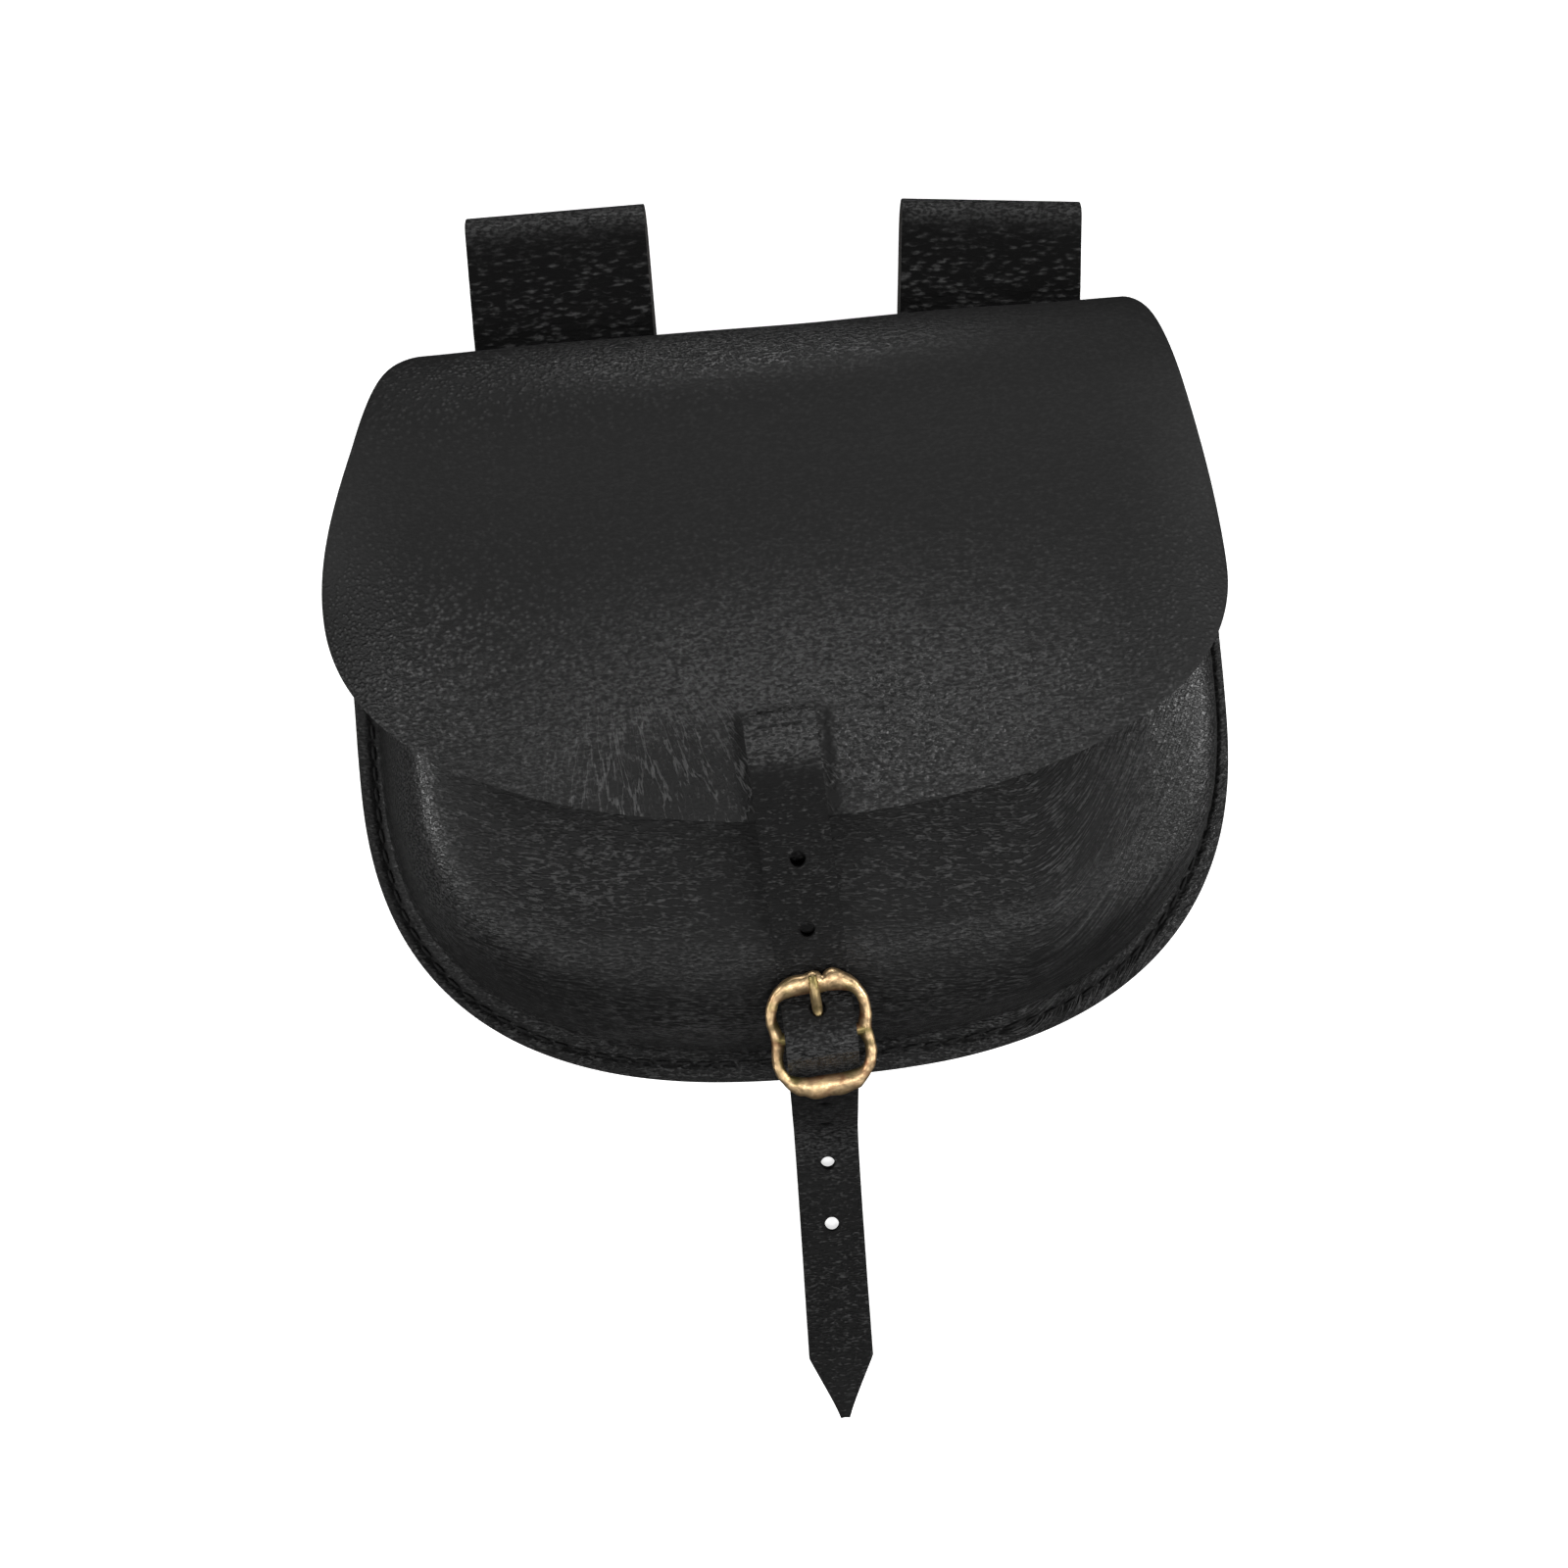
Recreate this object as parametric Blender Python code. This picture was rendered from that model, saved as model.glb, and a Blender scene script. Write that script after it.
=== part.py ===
"""A leather belt pouch with a fold-over flap, closed by a strap and a cast brass buckle.

The pouch lies on its back: +Z points out of its front, +Y towards its belt loops, and z = 0 is the
surface that it lies on. The origin is on the back's outer face, at the widest line of the body.
Lengths are in metres.
"""

import math

import bmesh
import bpy
from mathutils import Matrix, Vector

MM = 0.001

# Leather and clearances
LEATHER = 2.0 * MM  # wall of the back, flap, front and loops
SEAM_GAP = 0.3 * MM  # between pieces that touch
FLAP_GAP = 0.5 * MM  # between the front's crown and the flap that lies on it

# Body outline, shared by the back and the front's seam flange
BODY_HALF_WIDTH = 104.5 * MM
BODY_DROP = 83.0 * MM  # from the widest line down to the bottom of the curve
BODY_FULLNESS = 2.56  # exponent of the curve, where 2 is an ellipse
FOLD_HALF_WIDTH = 82.0 * MM  # the waist, where back turns into flap
SIDE_FULLNESS = 1.4  # how long the sides stay wide before they close to the waist

# Front, a moulded shell
POCKET_DEPTH = 54.0 * MM  # height of its crown
MOUTH_DEPTH = 48.0 * MM  # height of its crown at the mouth
LOW_DEPTH = 52.2 * MM  # height of its crown at the lower shoulder
MOUTH_Y = 58.0 * MM
CROWN_FALL = 3.0 * MM  # how far the crown falls away towards the sides
FRONT_LEAN = 4.5 * MM  # the moulded front sits this far to the right of the back
SIDE_RUN = 34.0 * MM  # width of the wall and shoulder at the sides
BOTTOM_RUN = 42.0 * MM  # the same at the bottom, where the shoulder is rounder
# Sections of the wall from the edge inwards: share of SIDE_RUN, of BOTTOM_RUN, and of the height
WALL_SECTIONS = (
    # side, bottom, height
    (0.00, 0.00, 0.00),  # cut edge
    (0.13, 0.13, 0.00),  # seam
    (0.17, 0.18, 0.03),  # foot
    (0.23, 0.24, 0.20),
    (0.32, 0.31, 0.46),
    (0.42, 0.41, 0.72),
    (0.54, 0.56, 0.89),  # shoulder
    (0.80, 0.76, 0.955),
    (1.00, 1.00, 1.00),  # crown
)

# Flap
FLAP_HALF_WIDTH = 98.0 * MM
FLAP_WIDEST_Y = 31.0 * MM
FLAP_DROP = 50.4 * MM  # from the flap's widest line down to its front edge
FLAP_FULLNESS = 2.08
FOLD_SHIFT = 1.9 * MM  # the turn at the top sits this far to the right
FLAP_SHIFT = -1.8 * MM  # and the flap this far to the left
TIP_SHIFT = -5.8 * MM  # and the lowest point of its front edge this far
FLAP_SKEW = 0.04  # the flap's left side sits higher than its right side: rise over run
FLAP_DROOP = 7.0 * MM  # how far its sides hang below its middle
DROOP_START = 74.0 * MM  # where the sides start to hang
DROOP_AT_FOLD = 0.35  # share of the droop that is left at the fold

# Back, which rises over the loops that are sewn under it
FOLD_Y = 68.3 * MM  # where the back starts to turn over into the flap
RISE_START_Y = 10.0 * MM
RISE_END_Y = 38.0 * MM

# Belt loops
LOOP_WIDTH = 42.7 * MM
LOOP_SPACING = 100.4 * MM  # between their middles
LOOP_SHIFT = 4.4 * MM  # both sit this far to the right of the pouch's middle
LOOP_SEWN_Y = 42.0 * MM  # lower end of the sewn stretch
LOOP_OPENS_Y = 74.0 * MM  # upper end of the sewn stretch
LOOP_RISE = 20.0 * MM  # stretch over which the front layer rises
LEFT_LOOP_TOP_Y = 129.2 * MM
RIGHT_LOOP_TOP_Y = 123.2 * MM
RIGHT_LOOP_TURN = math.radians(-6.0)
LOOP_BEND = 22.0 * MM  # radius of its bends
BELT_GAP = 7.0 * MM  # room for a belt between a loop's layers

# Closing strap
STRAP_SLOPE = math.radians(47.0)  # where it climbs through the buckle
STRAP_ROOM = 1.1 * MM  # between the strap and the end of the buckle that it passes under
STRAP_WIDTH = 15.2 * MM
STRAP_LEATHER = 2.0 * MM
STRAP_TOP_Y = 3.0 * MM  # upper end, sewn on the flap
STRAP_LEAN = math.radians(2.8)  # of its upper stretch
TAIL_LEAN = math.radians(-1.0)  # of its free end
TAIL_REACH = 89.8 * MM  # from under the buckle to the tip, along Y
TAIL_POINT = 14.0 * MM  # length of the pointed end
TIP_WIDTH = 1.2 * MM
TAIL_TAPER = 1.0 - TAIL_POINT / TAIL_REACH
# The free end falls from the buckle and lies on the surface
TAIL_CORNERS = (
    # share of TAIL_REACH, share of the height under the buckle, radius of the bend as a share of TAIL_REACH
    (0.25, 0.07, 0.2227),
    (0.40, 0.00, 0.6682),
    (0.60, 0.00, 1.559),
    (TAIL_TAPER, 0.127, 0.0),
    (1.00, 0.16, 0.0),
)
STRAP_ON_FRONT = (0.45, 0.75)  # where it touches the front, as shares of the way to the buckle
EDGE_BEND = 40.0 * MM  # its bend at the flap's edge
FRONT_BEND = 30.0 * MM  # its bends where it touches the front
UNDER_BEND = 4.0 * MM  # its bend under the far end of the buckle
NEAR_BEND = 12.0 * MM  # its bend where it leaves the buckle
HOLE_RADIUS = 1.7 * MM
HOLE_PITCH = 15.4 * MM
LAST_HOLE = 45.0 * MM  # from the tip to the hole nearest to it
LOWER_HOLES = 5
UPPER_HOLE = 21.5 * MM  # from the hole in use up to the next one
UPPER_HOLES = 2
PRONG_SLOT = 8.0 * MM  # the hole in use has stretched to this length

# Buckle
BUCKLE_FROM_EDGE = 17.0 * MM  # its middle bar, measured up from the bottom of the body
BUCKLE_TILT = math.radians(14.0)
BUCKLE_LEAN = math.radians(3.5)
BUCKLE_X = 0.4 * MM
FRAME_HALF_WIDTH = 10.4 * MM  # to the middle of the casting
FRAME_HALF_LENGTH = 11.7 * MM
FRAME_SQUARENESS = 3.4
WAIST_DEPTH = 1.0 * MM  # how far the sides pull in at the middle bar
WAIST_LENGTH = 3.2 * MM
FRAME_SIDE = 2.3 * MM  # width of the casting at the sides
FRAME_END = 3.7 * MM  # width at the two ends
END_BOSS = 1.2 * MM  # extra width in the middle of each end
WAIST_BOSS = 0.5 * MM  # extra width where the middle bar joins
FRAME_THICKNESS = 2.6 * MM
BAR_RADIUS = 1.4 * MM
PRONG_RADIUS = 0.9 * MM
PRONG_OVERHANG = 2.6 * MM  # past the middle of the far end
PRONG_DIP = 0.5 * MM
PRONG_OPEN = math.radians(6.0)  # how far its loop stays open

# Chape, the folded strip that holds the buckle
CHAPE_WIDTH = 13.6 * MM
CHAPE_LEATHER = 1.5 * MM
CHAPE_BEND = 4.0 * MM
CHAPE_SLOT = 4.4 * MM  # opening for the prong
CHAPE_LOW = 2.7  # where it ends on the front's wall, counted in WALL_SECTIONS
CHAPE_HIGH = 4.7  # where it leaves the wall

# Fineness of the meshes
RISE_STEPS = 4
CURVE_STEPS = 10
WALL_STEPS = 12
CROWN_STEPS = 4
ACROSS_STEPS = 16
FOLD_STEPS = 9
FLAP_STEPS = 4
CASTING_STEPS = 56  # round the buckle's frame
CASTING_SIDES = 8
BAR_SIDES = 12
PRONG_STEPS = 14
HOLE_SIDES = 12
BEND_STEP = math.radians(11.0)  # the most that a strip turns between two of its rows
LONG_STEP = 9.0 * MM  # the longest stretch between two of its rows
LAST_ROW = 0.97  # share of the quarter turn where the last, narrowest row lies

BUCKLE_Y = -BODY_DROP + BUCKLE_FROM_EDGE
FLANGE_TOP = 2.0 * LEATHER + SEAM_GAP
LOOP_STACK = 2.0 * (LEATHER + SEAM_GAP)


def clear_scene():
    """Removes what a new file starts with."""
    for thing in list(bpy.data.objects):
        bpy.data.objects.remove(thing)


def make_material(name, colour, roughness, metallic=0.0):
    """A Principled BSDF of one colour."""
    material = bpy.data.materials.new(name)
    material.use_nodes = True
    shader = material.node_tree.nodes["Principled BSDF"]
    shader.inputs["Base Color"].default_value = (*colour, 1.0)
    shader.inputs["Roughness"].default_value = roughness
    shader.inputs["Metallic"].default_value = metallic
    return material


def make_leather(piece_name):
    """Black leather for one piece."""
    return make_material(piece_name + "_leather", (0.018, 0.018, 0.019), 0.5)


def make_brass(piece_name):
    """Cast brass for one piece."""
    return make_material(piece_name + "_brass", (0.55, 0.37, 0.18), 0.35, 1.0)


def add_piece(name, shape, material):
    """Puts a bmesh into the scene as an object of that name."""
    mesh = bpy.data.meshes.new(name)
    shape.to_mesh(mesh)
    shape.free()
    piece = bpy.data.objects.new(name, mesh)
    bpy.context.scene.collection.objects.link(piece)
    mesh.materials.append(material)
    mesh.shade_smooth()
    return piece


def give_wall(piece, thickness, offset):
    """Turns a surface into a wall of leather."""
    wall = piece.modifiers.new("wall", "SOLIDIFY")
    wall.thickness = thickness
    wall.offset = offset
    wall.use_even_offset = True
    wall.use_quality_normals = True


def cut(piece, cutter):
    """Takes the cutter's shape out of the piece."""
    cutter.hide_render = True
    cutter.display_type = "WIRE"
    boolean = piece.modifiers.new("cut", "BOOLEAN")
    boolean.operation = "DIFFERENCE"
    boolean.object = cutter


def ease(share):
    """Runs smoothly from 0 to 1."""
    share = min(max(share, 0.0), 1.0)
    return share * share * (3.0 - 2.0 * share)


def along(rows, place):
    """The smooth curve through a table's rows, at a place counted in rows."""
    last = len(rows) - 1
    place = min(max(place, 0.0), float(last))
    row = min(int(place), last - 1)
    t = place - row
    before, a, b, after = (
        rows[max(row - 1, 0)],
        rows[row],
        rows[row + 1],
        rows[min(row + 2, last)],
    )
    result = []
    for p, q, r, s in zip(before, a, b, after):
        linear = r - p
        square = 2.0 * p - 5.0 * q + 4.0 * r - s
        cube = 3.0 * q - p - 3.0 * r + s
        result.append(0.5 * (2.0 * q + linear * t + square * t * t + cube * t * t * t))
    return result


def bent_line(corners):
    """Points along a line with rounded corners, each given as (x, y, z, radius of its bend)."""
    points = [Vector(corners[0][:3])]
    for before, here, after in zip(corners, corners[1:], corners[2:]):
        corner = Vector(here[:3])
        back = (Vector(before[:3]) - corner).normalized()
        ahead = (Vector(after[:3]) - corner).normalized()
        turned = math.pi - back.angle(ahead)
        if turned < 0.001:
            points.append(corner)
            continue
        room = min((Vector(end[:3]) - corner).length for end in (before, after)) / 2.0
        radius = min(here[3], room / math.tan(turned / 2.0))
        centre = corner + (back + ahead).normalized() * radius / math.cos(turned / 2.0)
        start = corner + back * radius * math.tan(turned / 2.0) - centre
        steps = max(2, math.ceil(turned / BEND_STEP))
        for i in range(steps + 1):
            angle = turned * i / steps
            points.append(centre + start * math.cos(angle) - back * radius * math.sin(angle))
    points.append(Vector(corners[-1][:3]))
    rows = [points[0]]
    for point in points[1:]:
        gap = (point - rows[-1]).length
        if gap < 0.1 * MM:
            continue
        parts = math.ceil(gap / LONG_STEP)
        start = rows[-1]
        rows += [start.lerp(point, i / parts) for i in range(1, parts + 1)]
    return rows


def grid_surface(columns, rows, place):
    """A grid whose vertices are moved to place(column share, row share)."""
    shape = bmesh.new()
    bmesh.ops.create_grid(shape, x_segments=columns, y_segments=rows, size=0.5)
    for vertex in shape.verts:
        vertex.co = place(vertex.co.x + 0.5, vertex.co.y + 0.5)
    return shape


def rise_of_back(y):
    """Height of the back's outer face, which the loops under it lift near the fold."""
    return LOOP_STACK * ease((y - RISE_START_Y) / (RISE_END_Y - RISE_START_Y))


def side_of_body(y):
    """Half the width of the body above its widest line."""
    to_waist = FOLD_Y + fold_radius() * math.pi / 2.0
    share = min(max(y / to_waist, 0.0), 1.0)
    open_share = math.cos(math.pi / 2.0 * share**SIDE_FULLNESS) ** 2
    return FOLD_HALF_WIDTH + (BODY_HALF_WIDTH - FOLD_HALF_WIDTH) * open_share


def crest(y):
    """Height of the front's outer face along its middle."""
    to_mouth = (POCKET_DEPTH - MOUTH_DEPTH) * ease(y / MOUTH_Y)
    to_shoulder = (POCKET_DEPTH - LOW_DEPTH) * (min(0.0, y) / (BODY_DROP - BOTTOM_RUN)) ** 2
    return POCKET_DEPTH - to_mouth - to_shoulder


def crown_fall(x):
    """How far the crown has fallen at a distance from the middle."""
    return CROWN_FALL * (x / BODY_HALF_WIDTH) ** 2


def wall_height(share, x, y):
    """Height of the front's outer face where its wall has reached a share of its height."""
    foot = FLANGE_TOP + rise_of_back(y)
    return foot + share * (crest(y) - foot - crown_fall(x))


def flap_middle(x, y):
    """Height of the middle of the flap's leather where it lies over the front."""
    hang = max(0.0, (abs(x) - DROOP_START) / (FLAP_HALF_WIDTH - DROOP_START))
    towards_fold = ease((y - FLAP_WIDEST_Y) / (FOLD_Y - FLAP_WIDEST_Y))
    droop = FLAP_DROOP * (1.0 - (1.0 - DROOP_AT_FOLD) * towards_fold)
    return crest(y) + FLAP_GAP + LEATHER / 2.0 - crown_fall(x) - droop * hang**2


def fold_radius():
    """Radius of the turn from the back into the flap, at the middle of the leather."""
    low = LOOP_STACK + LEATHER / 2.0
    high = MOUTH_DEPTH + FLAP_GAP + LEATHER / 2.0
    return (high - low) / 2.0


def curved_end(share, fullness):
    """Half-width and drop, as shares, on a rounded end: 0 at its widest, 1 at its tip."""
    angle = share * LAST_ROW * math.pi / 2.0
    power = 2.0 / fullness
    return math.cos(angle) ** power, math.sin(angle) ** power


def body_rows():
    """Places along the body, from the widest line up to the fold, where back and front are shaped."""
    rise = (RISE_END_Y - RISE_START_Y) / RISE_STEPS
    rows = [0.0] + [RISE_START_Y + rise * i for i in range(RISE_STEPS + 1)]
    return rows + [(RISE_END_Y + MOUTH_Y) / 2.0, MOUTH_Y, FOLD_Y]


def sheet_rows():
    """Rows of the piece that is back, fold and flap: y, half-width, shift, skew, angle of the fold."""
    rows = []
    for i in range(CURVE_STEPS, 0, -1):
        wide, drop = curved_end(i / CURVE_STEPS, BODY_FULLNESS)
        rows.append((-drop * BODY_DROP, wide * BODY_HALF_WIDTH, 0.0, 0.0, None))
    rows += [(y, side_of_body(y), 0.0, 0.0, None) for y in body_rows()]
    radius = fold_radius()
    quarter = radius * math.pi / 2.0
    whole = quarter + FOLD_Y - FLAP_WIDEST_Y
    for i in range(1, FOLD_STEPS):
        angle = math.pi * (i / FOLD_STEPS - 0.5)
        if angle < 0.0:
            wide = side_of_body(FOLD_Y + quarter + radius * angle)
            shift = FOLD_SHIFT * ease(1.0 + radius * angle / quarter)
        else:
            wide, shift = flap_side(radius * angle / whole)
        rows.append((FOLD_Y + radius * math.cos(angle), wide, shift, 0.0, angle))
    for i in range(FLAP_STEPS):
        share = (quarter + (FOLD_Y - FLAP_WIDEST_Y) * i / FLAP_STEPS) / whole
        wide, shift = flap_side(share)
        y = FOLD_Y + (FLAP_WIDEST_Y - FOLD_Y) * i / FLAP_STEPS
        rows.append((y, wide, shift, FLAP_SKEW * i / FLAP_STEPS, math.pi))
    for i in range(CURVE_STEPS + 1):
        wide, drop = curved_end(i / CURVE_STEPS, FLAP_FULLNESS)
        y = FLAP_WIDEST_Y - drop * FLAP_DROP
        shift = FLAP_SHIFT + (TIP_SHIFT - FLAP_SHIFT) * ease(i / CURVE_STEPS)
        rows.append((y, wide * FLAP_HALF_WIDTH, shift, FLAP_SKEW, math.pi))
    return rows


def flap_side(share):
    """Half the flap's width and its shift, from the fold's crown at 0 to its widest line at 1."""
    grown = ease(share)
    wide = FOLD_HALF_WIDTH + (FLAP_HALF_WIDTH - FOLD_HALF_WIDTH) * grown
    return wide, FOLD_SHIFT + (FLAP_SHIFT - FOLD_SHIFT) * grown


def build_back_and_flap(leather):
    """The back, the turn at the top and the flap, cut from one piece of leather."""
    rows = sheet_rows()
    low = LOOP_STACK + LEATHER / 2.0

    def place(column, row):
        y, half_width, shift, skew, angle = rows[round(row * (len(rows) - 1))]
        x = (2.0 * column - 1.0) * half_width + shift
        if angle is None:
            return Vector((x, y, LEATHER / 2.0 + rise_of_back(y)))
        if angle == math.pi:
            return Vector((x, y - skew * x, flap_middle(x, y - skew * x)))
        radius = (flap_middle(x, FOLD_Y) - low) / 2.0
        return Vector((x, y, low + radius * (1.0 + math.sin(angle))))

    shape = grid_surface(ACROSS_STEPS, len(rows) - 1, place)
    piece = add_piece("back_and_flap", shape, leather)
    give_wall(piece, LEATHER, 0.0)
    return piece


def ring_point(around, side_inset, bottom_inset, shrink):
    """A point of the U-shaped ring at that inset: around runs from -1, left mouth, to 1, right mouth."""
    side = 1.0 if around > 0.0 else -1.0
    rows = body_rows()[:-1]
    steps = abs(around) * (CURVE_STEPS + len(rows) - 1)
    if steps > CURVE_STEPS:
        y = rows[round(steps - CURVE_STEPS)]
        x = (side_of_body(y) - side_inset) * shrink
    else:
        angle = math.pi / 2.0 * steps / CURVE_STEPS
        power = 2.0 / BODY_FULLNESS
        x = (BODY_HALF_WIDTH - side_inset) * shrink * math.sin(angle) ** power
        y = -(BODY_DROP - bottom_inset) * shrink * abs(math.cos(angle)) ** power
    return side * x, y


def front_point(around, inwards):
    """A point of the front's outer face: inwards is 0 at the edge and 1 at the middle of the crown."""
    steps = inwards * (WALL_STEPS + CROWN_STEPS)
    last = len(WALL_SECTIONS) - 1
    side, bottom, height = along(WALL_SECTIONS, last * min(1.0, steps / WALL_STEPS))
    shrink = 1.0 - max(0.0, steps - WALL_STEPS) / CROWN_STEPS
    x, y = ring_point(around, side * SIDE_RUN, bottom * BOTTOM_RUN, shrink)
    height = min(max(height, 0.0), 1.0)
    return Vector((x + FRONT_LEAN * height, y, wall_height(height, x, y)))


def build_front(leather):
    """The moulded front with its seam flange, open at the mouth."""
    columns = 2 * (CURVE_STEPS + len(body_rows()) - 2)
    shape = grid_surface(
        columns,
        WALL_STEPS + CROWN_STEPS,
        lambda column, row: front_point(2.0 * round(column * columns) / columns - 1.0, row),
    )
    bmesh.ops.remove_doubles(shape, verts=shape.verts, dist=0.01 * MM)
    piece = add_piece("front", shape, leather)
    give_wall(piece, LEATHER, -1.0)
    return piece


def ribbon(name, path, width, thickness, material, across=None, narrowing=None):
    """A strip of leather along a path of (x, y, z) points, level across its width."""
    count = len(path) - 1

    def place(column, row):
        step = round(row * count)
        lean = across(step) if across else 0.0
        half = (narrowing(step) if narrowing else width) / 2.0
        level = Vector((math.cos(lean), math.sin(lean), 0.0))
        return path[step] + level * half * (2.0 * column - 1.0)

    piece = add_piece(name, grid_surface(1, count, place), material)
    give_wall(piece, thickness, 0.0)
    return piece


def build_loop(name, middle_x, top_y, turn, leather):
    """A belt loop: a strip folded over the belt, both ends sewn under the back."""
    rear = LEATHER / 2.0
    sewn = rear + LEATHER + SEAM_GAP
    radius = (BELT_GAP + LEATHER) / 2.0
    high = rear + 2.0 * radius
    end = top_y - LEATHER / 2.0
    path = bent_line(
        (
            (0.0, LOOP_SEWN_Y, rear, 0.0),
            (0.0, end, rear, radius),
            (0.0, end, high, radius),
            (0.0, LOOP_OPENS_Y + LOOP_RISE, high, LOOP_BEND),
            (0.0, LOOP_OPENS_Y, sewn, LOOP_BEND),
            (0.0, LOOP_SEWN_Y, sewn, 0.0),
        )
    )
    pivot = Vector((0.0, FOLD_Y + fold_radius(), 0.0))
    piece = ribbon(name, [point - pivot for point in path], LOOP_WIDTH, LEATHER, leather)
    piece.location = (middle_x, pivot.y, 0.0)
    piece.rotation_euler = (0.0, 0.0, turn)
    return piece


def front_profile(place):
    """A point of the front's outer face on its bottom line, and the way out of the face there."""
    def point(at):
        side, bottom, height = along(WALL_SECTIONS, at)
        y = -BODY_DROP + bottom * BOTTOM_RUN
        return Vector((0.0, y, wall_height(height, 0.0, y)))

    step = 0.05
    slope = (point(place + step) - point(place - step)).normalized()
    return point(place), Vector((0.0, -slope.z, slope.y))


def front_height(y):
    """Height of the front's outer face on its middle line."""
    if y > BOTTOM_RUN - BODY_DROP:
        return crest(y)
    low, high = 0.0, float(len(WALL_SECTIONS) - 1)
    for _ in range(30):
        middle = (low + high) / 2.0
        if front_profile(middle)[0].y < y:
            low = middle
        else:
            high = middle
    return front_profile(low)[0].z


def buckle_place():
    """Where the buckle is: x across it, y towards the flap, z out, from its middle bar."""
    far_y = BUCKLE_Y + FRAME_HALF_LENGTH * math.cos(BUCKLE_TILT)
    far_z = front_height(far_y) + 2.0 * SEAM_GAP + STRAP_LEATHER / 2.0 + strap_under()
    bar_z = far_z - FRAME_HALF_LENGTH * math.sin(BUCKLE_TILT)
    turn = Matrix.Rotation(BUCKLE_LEAN, 4, "Z") @ Matrix.Rotation(BUCKLE_TILT, 4, "X")
    return Matrix.Translation((BUCKLE_X, BUCKLE_Y, bar_z)) @ turn


def add_buckle_holder():
    """The empty that carries the buckle's pieces."""
    holder = bpy.data.objects.new("buckle_holder", None)
    bpy.context.scene.collection.objects.link(holder)
    holder.matrix_basis = buckle_place()
    return holder


def frame_outline(angle):
    """Middle of the casting at an angle, and the casting's width there."""
    power = 2.0 / FRAME_SQUARENESS
    x = math.copysign(abs(math.cos(angle)) ** power, math.cos(angle)) * FRAME_HALF_WIDTH
    y = math.copysign(abs(math.sin(angle)) ** power, math.sin(angle)) * FRAME_HALF_LENGTH
    at_waist = math.exp(-((y / WAIST_LENGTH) ** 2))
    x *= 1.0 - at_waist * WAIST_DEPTH / FRAME_HALF_WIDTH
    at_end = ease((abs(y) / FRAME_HALF_LENGTH - 0.75) / 0.25)
    at_middle = math.exp(-((2.0 * x / FRAME_HALF_WIDTH) ** 2))
    width = FRAME_SIDE + (FRAME_END - FRAME_SIDE) * at_end
    width += END_BOSS * at_end * at_middle + WAIST_BOSS * at_waist
    return Vector((x, y, 0.0)), width


def build_buckle(holder, brass):
    """The cast frame and its middle bar, one piece of brass."""
    bpy.ops.mesh.primitive_torus_add(
        major_segments=CASTING_STEPS,
        minor_segments=CASTING_SIDES,
        major_radius=1.0,
        minor_radius=0.5,
    )
    piece = bpy.context.object
    piece.name = "buckle_frame"
    for vertex in piece.data.vertices:
        flat = Vector((vertex.co.x, vertex.co.y, 0.0))
        angle = math.atan2(flat.y, flat.x)
        middle, width = frame_outline(angle)
        step = 0.01
        slope = (frame_outline(angle + step)[0] - frame_outline(angle - step)[0]).normalized()
        outwards = Vector((slope.y, -slope.x, 0.0))
        spot = middle + outwards * (flat.length - 1.0) * width
        vertex.co = spot + Vector((0.0, 0.0, vertex.co.z * FRAME_THICKNESS))
    bpy.ops.mesh.primitive_cylinder_add(
        vertices=BAR_SIDES,
        radius=BAR_RADIUS,
        depth=2.0 * frame_outline(0.0)[0].x,
        rotation=(0.0, math.pi / 2.0, 0.0),
    )
    bar = bpy.context.object
    bar.name = "middle_bar"
    bar.hide_render = True
    bar.display_type = "WIRE"
    joined = piece.modifiers.new("bar", "BOOLEAN")
    joined.operation = "UNION"
    joined.object = bar
    piece.data.materials.append(brass)
    piece.data.shade_smooth()
    piece.parent = holder
    bar.parent = holder
    return piece


def build_prong(holder, brass):
    """The prong: its loop turns on the middle bar, its tip rests on the far end of the frame."""
    loop = BAR_RADIUS + SEAM_GAP + PRONG_RADIUS
    rest = FRAME_THICKNESS / 2.0 + SEAM_GAP + PRONG_RADIUS
    points = []
    for i in range(PRONG_STEPS + 1):
        angle = PRONG_OPEN - (1.5 * math.pi + PRONG_OPEN) * i / PRONG_STEPS
        points.append((0.0, loop * math.cos(angle), loop * math.sin(angle)))
    length = FRAME_HALF_LENGTH + PRONG_OVERHANG
    for share in (0.25, 0.5, 0.8):
        points.append((0.0, FRAME_HALF_LENGTH * share, loop + (rest - loop) * share))
    points.append((0.0, FRAME_HALF_LENGTH + PRONG_OVERHANG * 0.4, rest))
    points.append((0.0, length, rest - PRONG_DIP))
    curve = bpy.data.curves.new("buckle_prong", "CURVE")
    curve.dimensions = "3D"
    curve.bevel_depth = PRONG_RADIUS
    curve.bevel_resolution = 2
    curve.use_fill_caps = True
    spline = curve.splines.new("POLY")
    spline.points.add(len(points) - 1)
    for index, (spot, point) in enumerate(zip(spline.points, points)):
        spot.co = (*point, 1.0)
        spot.radius = 1.0 if index < len(points) - 1 else 0.7
    piece = bpy.data.objects.new("buckle_prong", curve)
    bpy.context.scene.collection.objects.link(piece)
    curve.materials.append(brass)
    piece.parent = holder
    return piece


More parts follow.
